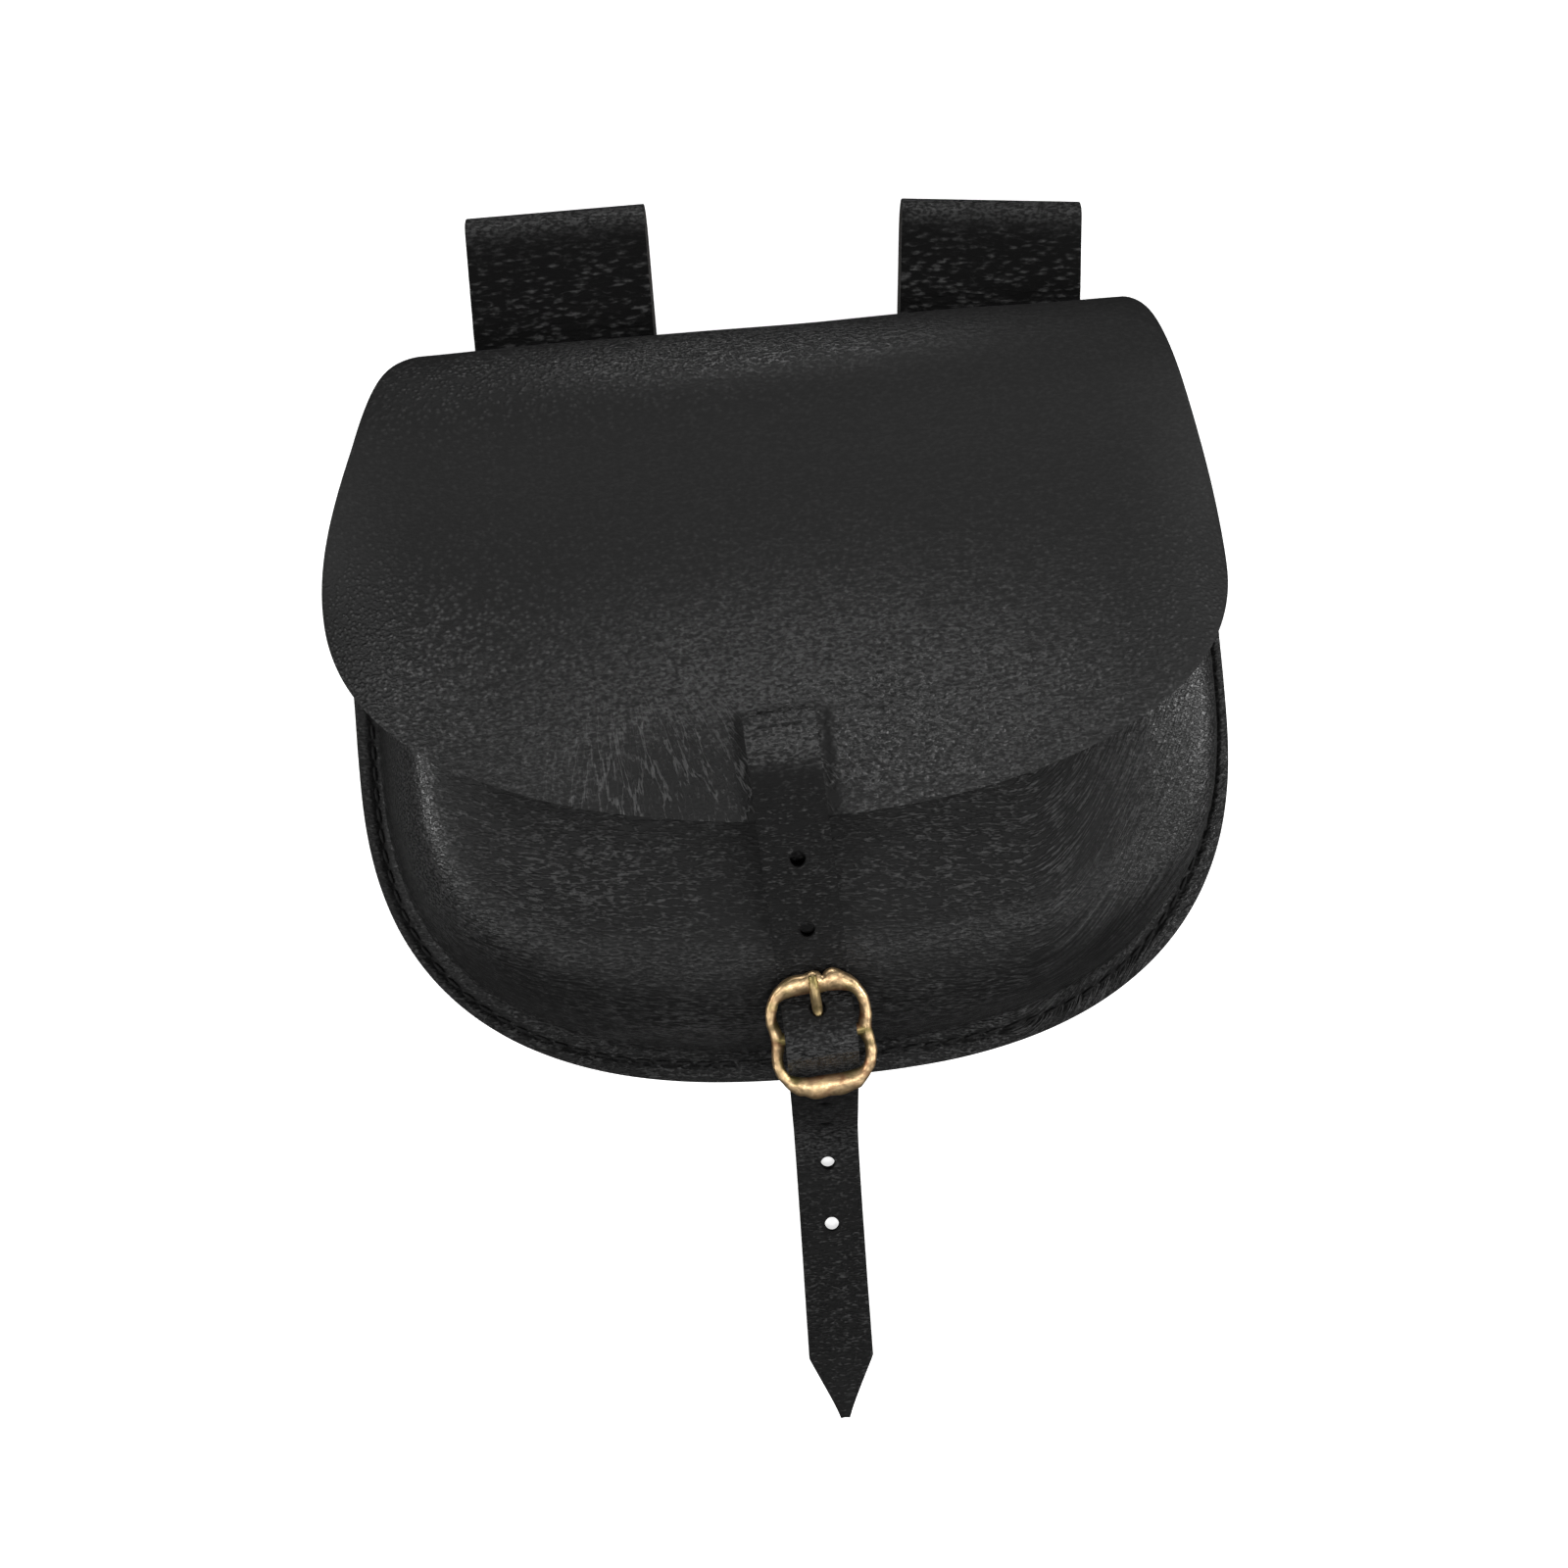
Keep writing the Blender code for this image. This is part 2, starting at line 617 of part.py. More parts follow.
def build_chape(holder, leather):
    """The strip that is folded round the middle bar, both layers sewn to the front's wall."""
    place = buckle_place()
    bar = place.translation
    inner = SEAM_GAP + CHAPE_LEATHER / 2.0
    outer = inner + CHAPE_LEATHER + SEAM_GAP
    steps = 3
    ups = [CHAPE_LOW + (CHAPE_HIGH - CHAPE_LOW) * i / steps for i in range(steps + 1)]

    def off_wall(at, distance):
        point, out = front_profile(at)
        return point + out * distance

    foot = off_wall(CHAPE_HIGH, (inner + outer) / 2.0)
    down = Vector((0.0, foot.y - bar.y, foot.z - bar.z)).normalized()
    side = Vector((0.0, -down.z, down.y))
    radius = BAR_RADIUS + inner
    up_side = bar + radius * (side - down)
    down_side = bar - radius * (side + down)
    corners = [(off_wall(at, inner), CHAPE_BEND) for at in ups]
    corners += [(up_side, radius), (down_side, radius)]
    corners += [(off_wall(at, outer), CHAPE_BEND) for at in reversed(ups)]
    path = bent_line([(BUCKLE_X, spot.y, spot.z, bend) for spot, bend in corners])

    def lean(step):
        height = ease((path[step].z - foot.z) / (bar.z - foot.z))
        return BUCKLE_LEAN * height

    piece = ribbon("chape", path, CHAPE_WIDTH, CHAPE_LEATHER, leather, across=lean)
    reach = BAR_RADIUS + 2.0 * PRONG_RADIUS + 2.0 * SEAM_GAP
    top = radius + CHAPE_LEATHER
    bpy.ops.mesh.primitive_cube_add(size=1.0, location=(0.0, 0.0, (top - reach) / 2.0))
    slot = bpy.context.object
    slot.name = "chape_slot"
    slot.scale = (CHAPE_SLOT, 3.0 * reach, top + reach)
    slot.parent = holder
    cut(piece, slot)
    return piece


def climb(height):
    """Where the strap's middle line is at a height, in the buckle's frame, as it climbs over the bar."""
    return (strap_over() - height * math.cos(STRAP_SLOPE)) / math.sin(STRAP_SLOPE)


def strap_under():
    """Distance of the strap's middle line from the middle of the frame's far end, which it passes under."""
    return FRAME_THICKNESS / 2.0 + STRAP_ROOM + STRAP_LEATHER / 2.0


def strap_over():
    """Distance of the strap's middle line from the middle bar, over the prong's loop."""
    return BAR_RADIUS + 2.0 * (PRONG_RADIUS + SEAM_GAP) + STRAP_LEATHER / 2.0


def strap_path():
    """The strap's middle line: over the flap and the front, through the buckle, down to the surface."""
    half = STRAP_LEATHER / 2.0
    edge_y = FLAP_WIDEST_Y - FLAP_DROP
    on_flap = LEATHER / 2.0 + SEAM_GAP + half
    place = buckle_place()

    def at_buckle(y, z):
        spot = place @ Vector((0.0, y, z))
        return spot.y, spot.z

    under = -strap_under()
    over = strap_over()
    near_y, near_z = at_buckle(-climb(0.5 * under), 0.5 * under)
    corners = [
        (STRAP_TOP_Y, flap_middle(0.0, STRAP_TOP_Y) + on_flap, 0.0),
        (edge_y - LEATHER, flap_middle(0.0, edge_y) + on_flap, EDGE_BEND),
    ]
    bend_y = at_buckle(climb(under), under)[0]
    for share in STRAP_ON_FRONT:
        y = edge_y + share * (bend_y - edge_y)
        corners.append((y, front_height(y) + 3.0 * SEAM_GAP + half, FRONT_BEND))
    corners += [
        (*at_buckle(climb(under), under), UNDER_BEND),
        (*at_buckle(0.0, over / math.cos(STRAP_SLOPE)), over),
        (near_y, near_z, NEAR_BEND),
    ]
    for reach, height, bend in TAIL_CORNERS:
        y = near_y - reach * TAIL_REACH
        corners.append((y, half + height * (near_z - half), bend * TAIL_REACH))
    line = []
    for y, z, bend in corners:
        away = y - BUCKLE_Y
        lean = STRAP_LEAN if away > 0.0 else TAIL_LEAN
        line.append((BUCKLE_X - away * math.tan(lean), y, z, bend))
    return bent_line(line)


def punch(name, path, station, length):
    """A cutter for a hole at a distance along the strap, drawn out to a slot of that length."""
    index = 0
    while index < len(path) - 2 and station > (path[index + 1] - path[index]).length:
        station -= (path[index + 1] - path[index]).length
        index += 1
    share = station / (path[index + 1] - path[index]).length
    spot = path[index].lerp(path[index + 1], share)
    run = (path[index + 1] - path[index]).normalized()
    across = Vector((1.0, 0.0, 0.0))
    out = across.cross(run).normalized()
    turn = Matrix((run.cross(out), run, out)).transposed().to_4x4()
    cutter = bmesh.new()
    bmesh.ops.create_cone(
        cutter,
        cap_ends=True,
        segments=HOLE_SIDES,
        radius1=HOLE_RADIUS,
        radius2=HOLE_RADIUS,
        depth=4.0 * STRAP_LEATHER,
    )
    for vertex in cutter.verts:
        vertex.co.y += math.copysign(max(0.0, length / 2.0 - HOLE_RADIUS), vertex.co.y)
    cutter.transform(Matrix.Translation(spot) @ turn)
    mesh = bpy.data.meshes.new(name)
    cutter.to_mesh(mesh)
    cutter.free()
    thing = bpy.data.objects.new(name, mesh)
    bpy.context.scene.collection.objects.link(thing)
    return thing


def path_length(path):
    """Length of a line through points."""
    return sum((b - a).length for a, b in zip(path, path[1:]))


def station_of(path, y):
    """Distance along the strap to where it passes y."""
    passed = 0.0
    for a, b in zip(path, path[1:]):
        if a.y >= y > b.y:
            return passed + (b - a).length * (a.y - y) / (a.y - b.y)
        passed += (b - a).length
    return passed


def build_strap(leather):
    """The closing strap with its punched holes and pointed end."""
    path = strap_path()
    total = path_length(path)

    def narrowing(step):
        share = min(1.0, path_length(path[step:]) / TAIL_POINT)
        return TIP_WIDTH + (STRAP_WIDTH - TIP_WIDTH) * share

    def lean(step):
        away = path[step].y - BUCKLE_Y
        share = ease(0.5 + away / (2.0 * FRAME_HALF_LENGTH))
        at_buckle = max(0.0, 1.0 - abs(away) / (2.0 * FRAME_HALF_LENGTH))
        plain = TAIL_LEAN + (STRAP_LEAN - TAIL_LEAN) * share
        return plain + (BUCKLE_LEAN - plain) * at_buckle

    piece = ribbon(
        "strap", path, STRAP_WIDTH, STRAP_LEATHER, leather, across=lean, narrowing=narrowing
    )
    shaft = BAR_RADIUS + SEAM_GAP + PRONG_RADIUS
    crossing = buckle_place() @ Vector((0.0, climb(shaft), shaft))
    in_use = station_of(path, crossing.y)
    cut(piece, punch("prong_slot", path, in_use, PRONG_SLOT))
    for i in range(LOWER_HOLES):
        station = total - LAST_HOLE - i * HOLE_PITCH
        cut(piece, punch(f"lower_hole_{i + 1}", path, station, 0.0))
    for i in range(UPPER_HOLES):
        station = in_use - UPPER_HOLE - i * HOLE_PITCH
        cut(piece, punch(f"upper_hole_{i + 1}", path, station, 0.0))
    return piece


def main():
    """Builds the pouch."""
    clear_scene()
    build_back_and_flap(make_leather("back_and_flap"))
    build_front(make_leather("front"))
    for name, side, top_y, turn in (
        ("belt_loop_left", -1.0, LEFT_LOOP_TOP_Y, 0.0),
        ("belt_loop_right", 1.0, RIGHT_LOOP_TOP_Y, RIGHT_LOOP_TURN),
    ):
        middle_x = LOOP_SHIFT + side * LOOP_SPACING / 2.0
        build_loop(name, middle_x, top_y, turn, make_leather(name))
    holder = add_buckle_holder()
    build_buckle(holder, make_brass("buckle_frame"))
    build_prong(holder, make_brass("buckle_prong"))
    build_chape(holder, make_leather("chape"))
    build_strap(make_leather("strap"))


main()
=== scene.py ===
"""The looks of a moulded leather belt pouch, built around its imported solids.

The pouch lies on its back. The row frame has +X to the right of the photograph, +Y towards the belt
loops and +Z out of the pouch's front, and z = 0 is the surface that the pouch lies on. Lengths are in
metres. Every leather piece is one cut of leather: a fine grid laid along the same lines as its solid,
given its thickness, with cut edges of their own material and the rough flesh side inside.
"""

from __future__ import annotations

import logging
import math
from collections.abc import Callable, Sequence
from dataclasses import dataclass
from enum import Enum
from itertools import accumulate

import bmesh
import bpy
from mathutils import Matrix, Vector, noise

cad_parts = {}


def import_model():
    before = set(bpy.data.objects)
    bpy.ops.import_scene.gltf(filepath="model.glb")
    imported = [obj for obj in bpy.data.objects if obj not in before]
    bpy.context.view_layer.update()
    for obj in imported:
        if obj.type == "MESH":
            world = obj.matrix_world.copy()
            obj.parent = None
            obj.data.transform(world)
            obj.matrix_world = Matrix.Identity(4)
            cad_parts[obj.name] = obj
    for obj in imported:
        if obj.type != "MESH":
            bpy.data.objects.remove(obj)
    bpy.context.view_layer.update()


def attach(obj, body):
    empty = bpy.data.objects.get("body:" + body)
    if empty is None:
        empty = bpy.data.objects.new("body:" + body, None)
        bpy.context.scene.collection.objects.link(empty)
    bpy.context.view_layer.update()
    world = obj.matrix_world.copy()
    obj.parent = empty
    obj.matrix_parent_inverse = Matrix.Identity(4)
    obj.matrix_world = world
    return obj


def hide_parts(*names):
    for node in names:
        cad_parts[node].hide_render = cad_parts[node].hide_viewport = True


MM = 0.001
BODY = "root"
log = logging.getLogger("pouch")

Piece = bpy.types.Object
Shape = bmesh.types.BMesh
Material = bpy.types.Material
Socket = bpy.types.NodeSocket
Place = Callable[[float, float], Vector]
Zone = Callable[[Vector], float]
Run = Callable[[Vector], Vector]
Stations = list[tuple[Vector, Vector]]
# each patch's strength, its middle's x and y, half its width and half its height, in millimetres
Patches = tuple[tuple[float, float, float, float, float], ...]
Pair = tuple[float, float]
Triple = tuple[float, float, float]
Four = tuple[float, float, float, float]
Table = tuple[Triple, ...]
Pieces = Sequence[Piece]
SheetRows = list[tuple[float, float, float, float, float | None]]
Path = Sequence[Vector]


class Slot(Enum):
    """Material slots."""

    BACK_AND_FLAP = "back_and_flap"
    FRONT = "front"
    LOOPS = "belt_loops"
    STRAP = "strap"
    BUCKLE = "buckle"


FLOW = "flow"  # coordinates in metres that run along and across the leather
FAN = "fan"  # coordinates in metres whose second part runs along the fan of stress lines


class Grain(Enum):
    """Vertex attributes that say how strongly each pattern of the leather shows."""

    PEBBLE = "pebble"
    LEVEL = "level_creases"
    UPRIGHT = "upright_creases"
    SHEEN_AND_PAINTED_LIGHT = "sheen_and_painted_light"  # how far wear has polished it, from 0 to 1; it also lightens the colour, as painted highlight and shade


def ease(share: float) -> float:
    """A share eased in and out, where any number outside 0 to 1 counts as the nearer end."""
    share = min(max(share, 0.0), 1.0)
    return share * share * (3.0 - 2.0 * share)


def hill(x: float, middle: float, half_width: float) -> float:
    """Height at x of a smooth bump of height 1, which has fallen to about a third at its half-width."""
    return math.exp(-(((x - middle) / half_width) ** 2))


def patch(spot: Vector, x: float, y: float, half_x: float, half_y: float) -> float:
    """Strength at a point of a smooth patch of strength 1, seen from above, its sizes in millimetres."""
    return hill(spot.x / MM, x, half_x) * hill(spot.y / MM, y, half_y)


def patched(spot: Vector, rows: Patches) -> float:
    """Strength at a point of a table's patches, added up."""
    return sum(strength * patch(spot, *place) for strength, *place in rows)


def ripple(spot: Vector, size: float, salt: float = 0.0) -> float:
    """Smooth unevenness between -1 and 1 at a point, whose salt takes it from another place."""
    return noise.noise(spot / size + Vector((salt, 2.0 * salt, 3.0 * salt)))


def along(rows: Sequence[Sequence[float]], place: float) -> list[float]:
    """The smooth curve through a table's rows.

    Args:
        rows: The table.
        place: A place on the curve, counted in rows.

    Returns:
        One value for each column.
    """
    last = len(rows) - 1
    place = min(max(place, 0.0), float(last))
    row = min(int(place), last - 1)
    t = place - row
    result = []
    for p, q, r, s in zip(rows[max(row - 1, 0)], rows[row], rows[row + 1], rows[min(row + 2, last)]):
        linear = r - p
        square = 2.0 * p - 5.0 * q + 4.0 * r - s
        cube = 3.0 * q - p - 3.0 * r + s
        result.append(0.5 * (2.0 * q + linear * t + square * t * t + cube * t * t * t))
    return result


def lengths_along(path: Path) -> list[float]:
    """Length of a line from its start to each of its points."""
    return list(accumulate(((b - a).length for a, b in zip(path, path[1:])), initial=0.0))


def power_of(value: float, power: float) -> float:
    """A value raised to a power, which keeps its sign."""
    return math.copysign(abs(value) ** power, value)


def bent_line(corners: Sequence[Four], turn: float, stretch: float) -> list[Vector]:
    """Points along a line with rounded corners.

    Args:
        corners: Each corner as x, y, z and the radius of its bend.
        turn: The most that the line turns between two points of a bend, in radians.
        stretch: The longest way between two points.

    Returns:
        The points, evenly enough spaced for the rows of a strip.
    """
    straight = 0.001
    points = [Vector(corners[0][:3])]
    for before, here, after in zip(corners, corners[1:], corners[2:]):
        corner = Vector(here[:3])
        back = (Vector(before[:3]) - corner).normalized()
        ahead = (Vector(after[:3]) - corner).normalized()
        turned = math.pi - back.angle(ahead)
        if turned < straight:
            points.append(corner)
            continue
        room = min((Vector(end[:3]) - corner).length for end in (before, after)) / 2.0
        radius = min(here[3], room / math.tan(turned / 2.0))
        centre = corner + (back + ahead).normalized() * radius / math.cos(turned / 2.0)
        start = corner + back * radius * math.tan(turned / 2.0) - centre
        steps = max(2, math.ceil(turned / turn))
        for i in range(steps + 1):
            angle = turned * i / steps
            points.append(centre + start * math.cos(angle) - back * radius * math.sin(angle))
    points.append(Vector(corners[-1][:3]))
    rows = [points[0]]
    for point in points[1:]:
        gap = (point - rows[-1]).length
        if gap < 0.1 * MM:
            continue
        parts = math.ceil(gap / stretch)
        start = rows[-1]
        rows += [start.lerp(point, i / parts) for i in range(1, parts + 1)]
    return rows


def grid_surface(columns: int, rows: int, place: Place, turned: bool = False) -> Shape:
    """A grid whose vertices are laid on a surface.

    Args:
        columns: Faces across.
        rows: Faces along.
        place: Gives a point for the share across and the share along.
        turned: Turns the faces over.

    Returns:
        The surface.
    """
    shape = bmesh.new()
    bmesh.ops.create_grid(shape, x_segments=columns, y_segments=rows, size=0.5)
    for vertex in shape.verts:
        vertex.co = place(vertex.co.x + 0.5, vertex.co.y + 0.5)
    if turned:
        bmesh.ops.reverse_faces(shape, faces=shape.faces)
    return shape


def add_piece(name: str, shape: Shape, materials: Sequence[Material]) -> Piece:
    """Puts a shape into the scene.

    Args:
        name: The piece's name.
        shape: Its mesh, which is used up.
        materials: Its materials.

    Returns:
        The piece.
    """
    mesh = bpy.data.meshes.new(name)
    shape.to_mesh(mesh)
    shape.free()
    for material in materials:
        mesh.materials.append(material)
    mesh.shade_smooth()
    piece = bpy.data.objects.new(name, mesh)
    bpy.context.scene.collection.objects.link(piece)
    return piece


def finished_mesh(maker: Piece) -> bpy.types.Mesh:
    """A new mesh of what an object's modifiers or its curve make."""
    bpy.context.view_layer.update()
    graph = bpy.context.evaluated_depsgraph_get()
    return bpy.data.meshes.new_from_object(maker.evaluated_get(graph), depsgraph=graph)


def modify(piece: Piece, name: str, kind: str, **settings: object) -> None:
    """Adds a modifier with its settings.

    Args:
        piece: The piece.
        name: The modifier's name.
        kind: Its type.
        settings: Its own settings.
    """
    modifier = piece.modifiers.new(name, kind)
    for key, value in settings.items():
        setattr(modifier, key, value)


def combine(piece: Piece, others: Pieces, operation: str) -> None:
    """Joins other objects to a piece or cuts them out of it, and takes them out of the scene.

    Args:
        piece: The piece.
        others: What is joined to it or cut out of it.
        operation: UNION or DIFFERENCE.
    """
    for other in others:
        modify(piece, operation.lower(), "BOOLEAN", operation=operation, object=other)
    mesh = finished_mesh(piece)
    piece.modifiers.clear()
    piece.data = mesh
    mesh.name = piece.name
    for other in others:
        bpy.data.objects.remove(other)


def turned_bar(radius: float, length: float, sides: int) -> Shape:
    """A round bar along Z.

    Args:
        radius: Its radius.
        length: Its length.
        sides: Faces round it.

    Returns:
        Its shape.
    """
    shape = bmesh.new()
    ends = {"radius1": radius, "radius2": radius, "depth": length}
    bmesh.ops.create_cone(shape, cap_ends=True, segments=sides, **ends)
    return shape


def hand_over(piece: Piece, slot: Slot, *nodes: str) -> None:
    """Lets a piece ride on the pouch and stand for its solids.

    Args:
        piece: The finished piece.
        slot: Where its finish comes from; not used.
        nodes: The solids that it replaces.
    """
    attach(piece, BODY)
    if nodes:
        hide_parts(*nodes)
    log.info("%s: %d vertices", piece.name, len(piece.data.vertices))


def even(number: float) -> Triple:
    """The same number along all three axes."""
    return number, number, number


def grey(tone: float) -> Four:
    """A grey as a colour."""
    return tone, tone, tone, 1.0


class Wiring:
    """Adds and joins the nodes of one material."""

    def __init__(self, name: str) -> None:
        """Starts a material with its Principled BSDF.

        Args:
            name: Its name.
        """
        self.material = bpy.data.materials.new(name)
        self.material.use_nodes = True
        self.tree = self.material.node_tree
        self.shader = self.tree.nodes["Principled BSDF"]

    def add(
        self, kind: str, inputs: dict[str | int, object], output: str | int = 0, **settings: object
    ) -> Socket:
        """Adds a node.

        Args:
            kind: The node's type, without its ShaderNode prefix.
            inputs: A value or another node's output for each socket that is set.
            output: The socket that is handed back.
            settings: The node's own settings.

        Returns:
            That output.
        """
        node = self.tree.nodes.new("ShaderNode" + kind)
        for key, value in settings.items():
            setattr(node, key, value)
        for key, value in inputs.items():
            if isinstance(value, Socket):
                self.tree.links.new(value, node.inputs[key])
            else:
                node.inputs[key].default_value = value
        return node.outputs[output]

    def sum(self, a: object, b: object) -> Socket:
        """Two values added."""
        return self.add("Math", {0: a, 1: b}, operation="ADD")

    def times(self, a: object, b: object) -> Socket:
        """Two values multiplied."""
        return self.add("Math", {0: a, 1: b}, operation="MULTIPLY")

    def cloud(self, noise_value: Socket, low: float, high: float) -> Socket:
        """Noise, which hardly leaves the range from 0.3 to 0.7, stretched from low to high."""
        return self.span(noise_value, 0.3, 0.7, low, high)

    def noise(self, per_metre: Triple, detail: float) -> Socket:
        """Noise with a number of spots to the metre along each axis."""
        inputs = {"Vector": self.stretched(per_metre), "Scale": 1.0, "Detail": detail}
        return self.add("TexNoise", inputs)

    def span(self, value: object, low: float, high: float, to_low: float, to_high: float) -> Socket:
        """A value carried smoothly from the range low to high to the range to_low to to_high."""
        inputs = {"Value": value, "From Min": low, "From Max": high, "To Min": to_low, "To Max": to_high}
        return self.add("MapRange", inputs, interpolation_type="SMOOTHSTEP")

    def blend(self, share: object, a: object, b: object) -> Socket:
        """The colour a with a share of the colour b mixed in."""
        return self.add("Mix", {0: share, 6: a, 7: b}, output=2, data_type="RGBA")

    def read(self, name: str, output: str = "Vector") -> Socket:
        """Reads one of the piece's own attributes."""
        return self.add("Attribute", {}, output=output, attribute_name=name, attribute_type="GEOMETRY")

    def strength(self, grain: Grain) -> Socket:
        """Reads how strongly a pattern shows."""
        return self.read(grain.value, "Fac")

    def stretched(self, scale: Triple) -> Socket:
        """Object coordinates counted in cells, with the cells in each metre along each axis."""
        place = self.add("TexCoord", {}, output="Object")
        return self.add("Mapping", {"Vector": place, "Scale": scale}, vector_type="POINT")

    def wander(self, vector: Socket, amount: float, scale: float) -> Socket:
        """Coordinates pushed about, so that lines wander.

        Args:
            vector: The coordinates.
            amount: How far, in cells.
            scale: Bends in each cell.

        Returns:
            The new coordinates.
        """
        push = self.add("TexNoise", {"Vector": vector, "Scale": scale, "Detail": 1.0}, output="Color")
        centred = self.add("VectorMath", {0: push, 1: (0.5, 0.5, 0.5)}, operation="SUBTRACT")
        moved = self.add("VectorMath", {0: centred, 3: amount}, operation="SCALE")
        return self.add("VectorMath", {0: vector, 1: moved}, operation="ADD")

    def counted(self, name: str, scale: Triple) -> Socket:
        """A piece's own coordinates counted in cells, with the cells in each metre along each axis."""
        return self.add("VectorMath", {0: self.read(name), 1: scale}, operation="MULTIPLY")

    def domes(self, vector: Socket) -> Socket:
        """Rounded cells, as leather has: the height from 0 between them to 1 on them."""
        centre = self.add("TexVoronoi", {"Vector": vector, "Scale": 1.0}, output="Distance", feature="F1")
        return self.span(centre, 0.05, 0.62, 1.0, 0.0)

    def mottle(self, vector: Socket) -> Socket:
        """Fine uneven grain, evenly spread: the height from 0 in the hollows to 1 on the tops."""
        swell = self.add("TexNoise", {"Vector": vector, "Scale": 1.0, "Detail": 1.5, "Roughness": 0.55})
        return self.span(swell, 0.36, 0.64, 0.0, 1.0)

    def folds(self, vector: Socket, width: float) -> Socket:
        """Narrow raised lines that wander, fork and end.

        Args:
            vector: Coordinates counted in folds across and in lengths of a fold along.
            width: How far the noise may stray from its middle before the line ends.

        Returns:
            Height from 0 between the lines to 1 on them.
        """
        swell = self.add("TexNoise", {"Vector": vector, "Scale": 1.0, "Detail": 3.0, "Roughness": 0.55})
        off = self.sum(swell, -0.5)
        apart = self.add("Math", {0: off}, operation="ABSOLUTE")
        return self.span(apart, 0.0, width, 1.0, 0.0)

    def finish(self, colour: object, roughness: object, height: object, depth: float) -> Material:
        """Joins the results to the shader.

        Args:
            colour: Base colour.
            roughness: Roughness.
            height: Height of the surface, from 0 to about 1.
            depth: What a height of 1 is, in metres.

        Returns:
            The material.
        """
        bump = self.add("Bump", {"Strength": 1.0, "Distance": depth, "Height": height}, output="Normal")
        for socket, value in (("Base Color", colour), ("Roughness", roughness), ("Normal", bump)):
            self.tree.links.new(value, self.shader.inputs[socket])
        return self.material


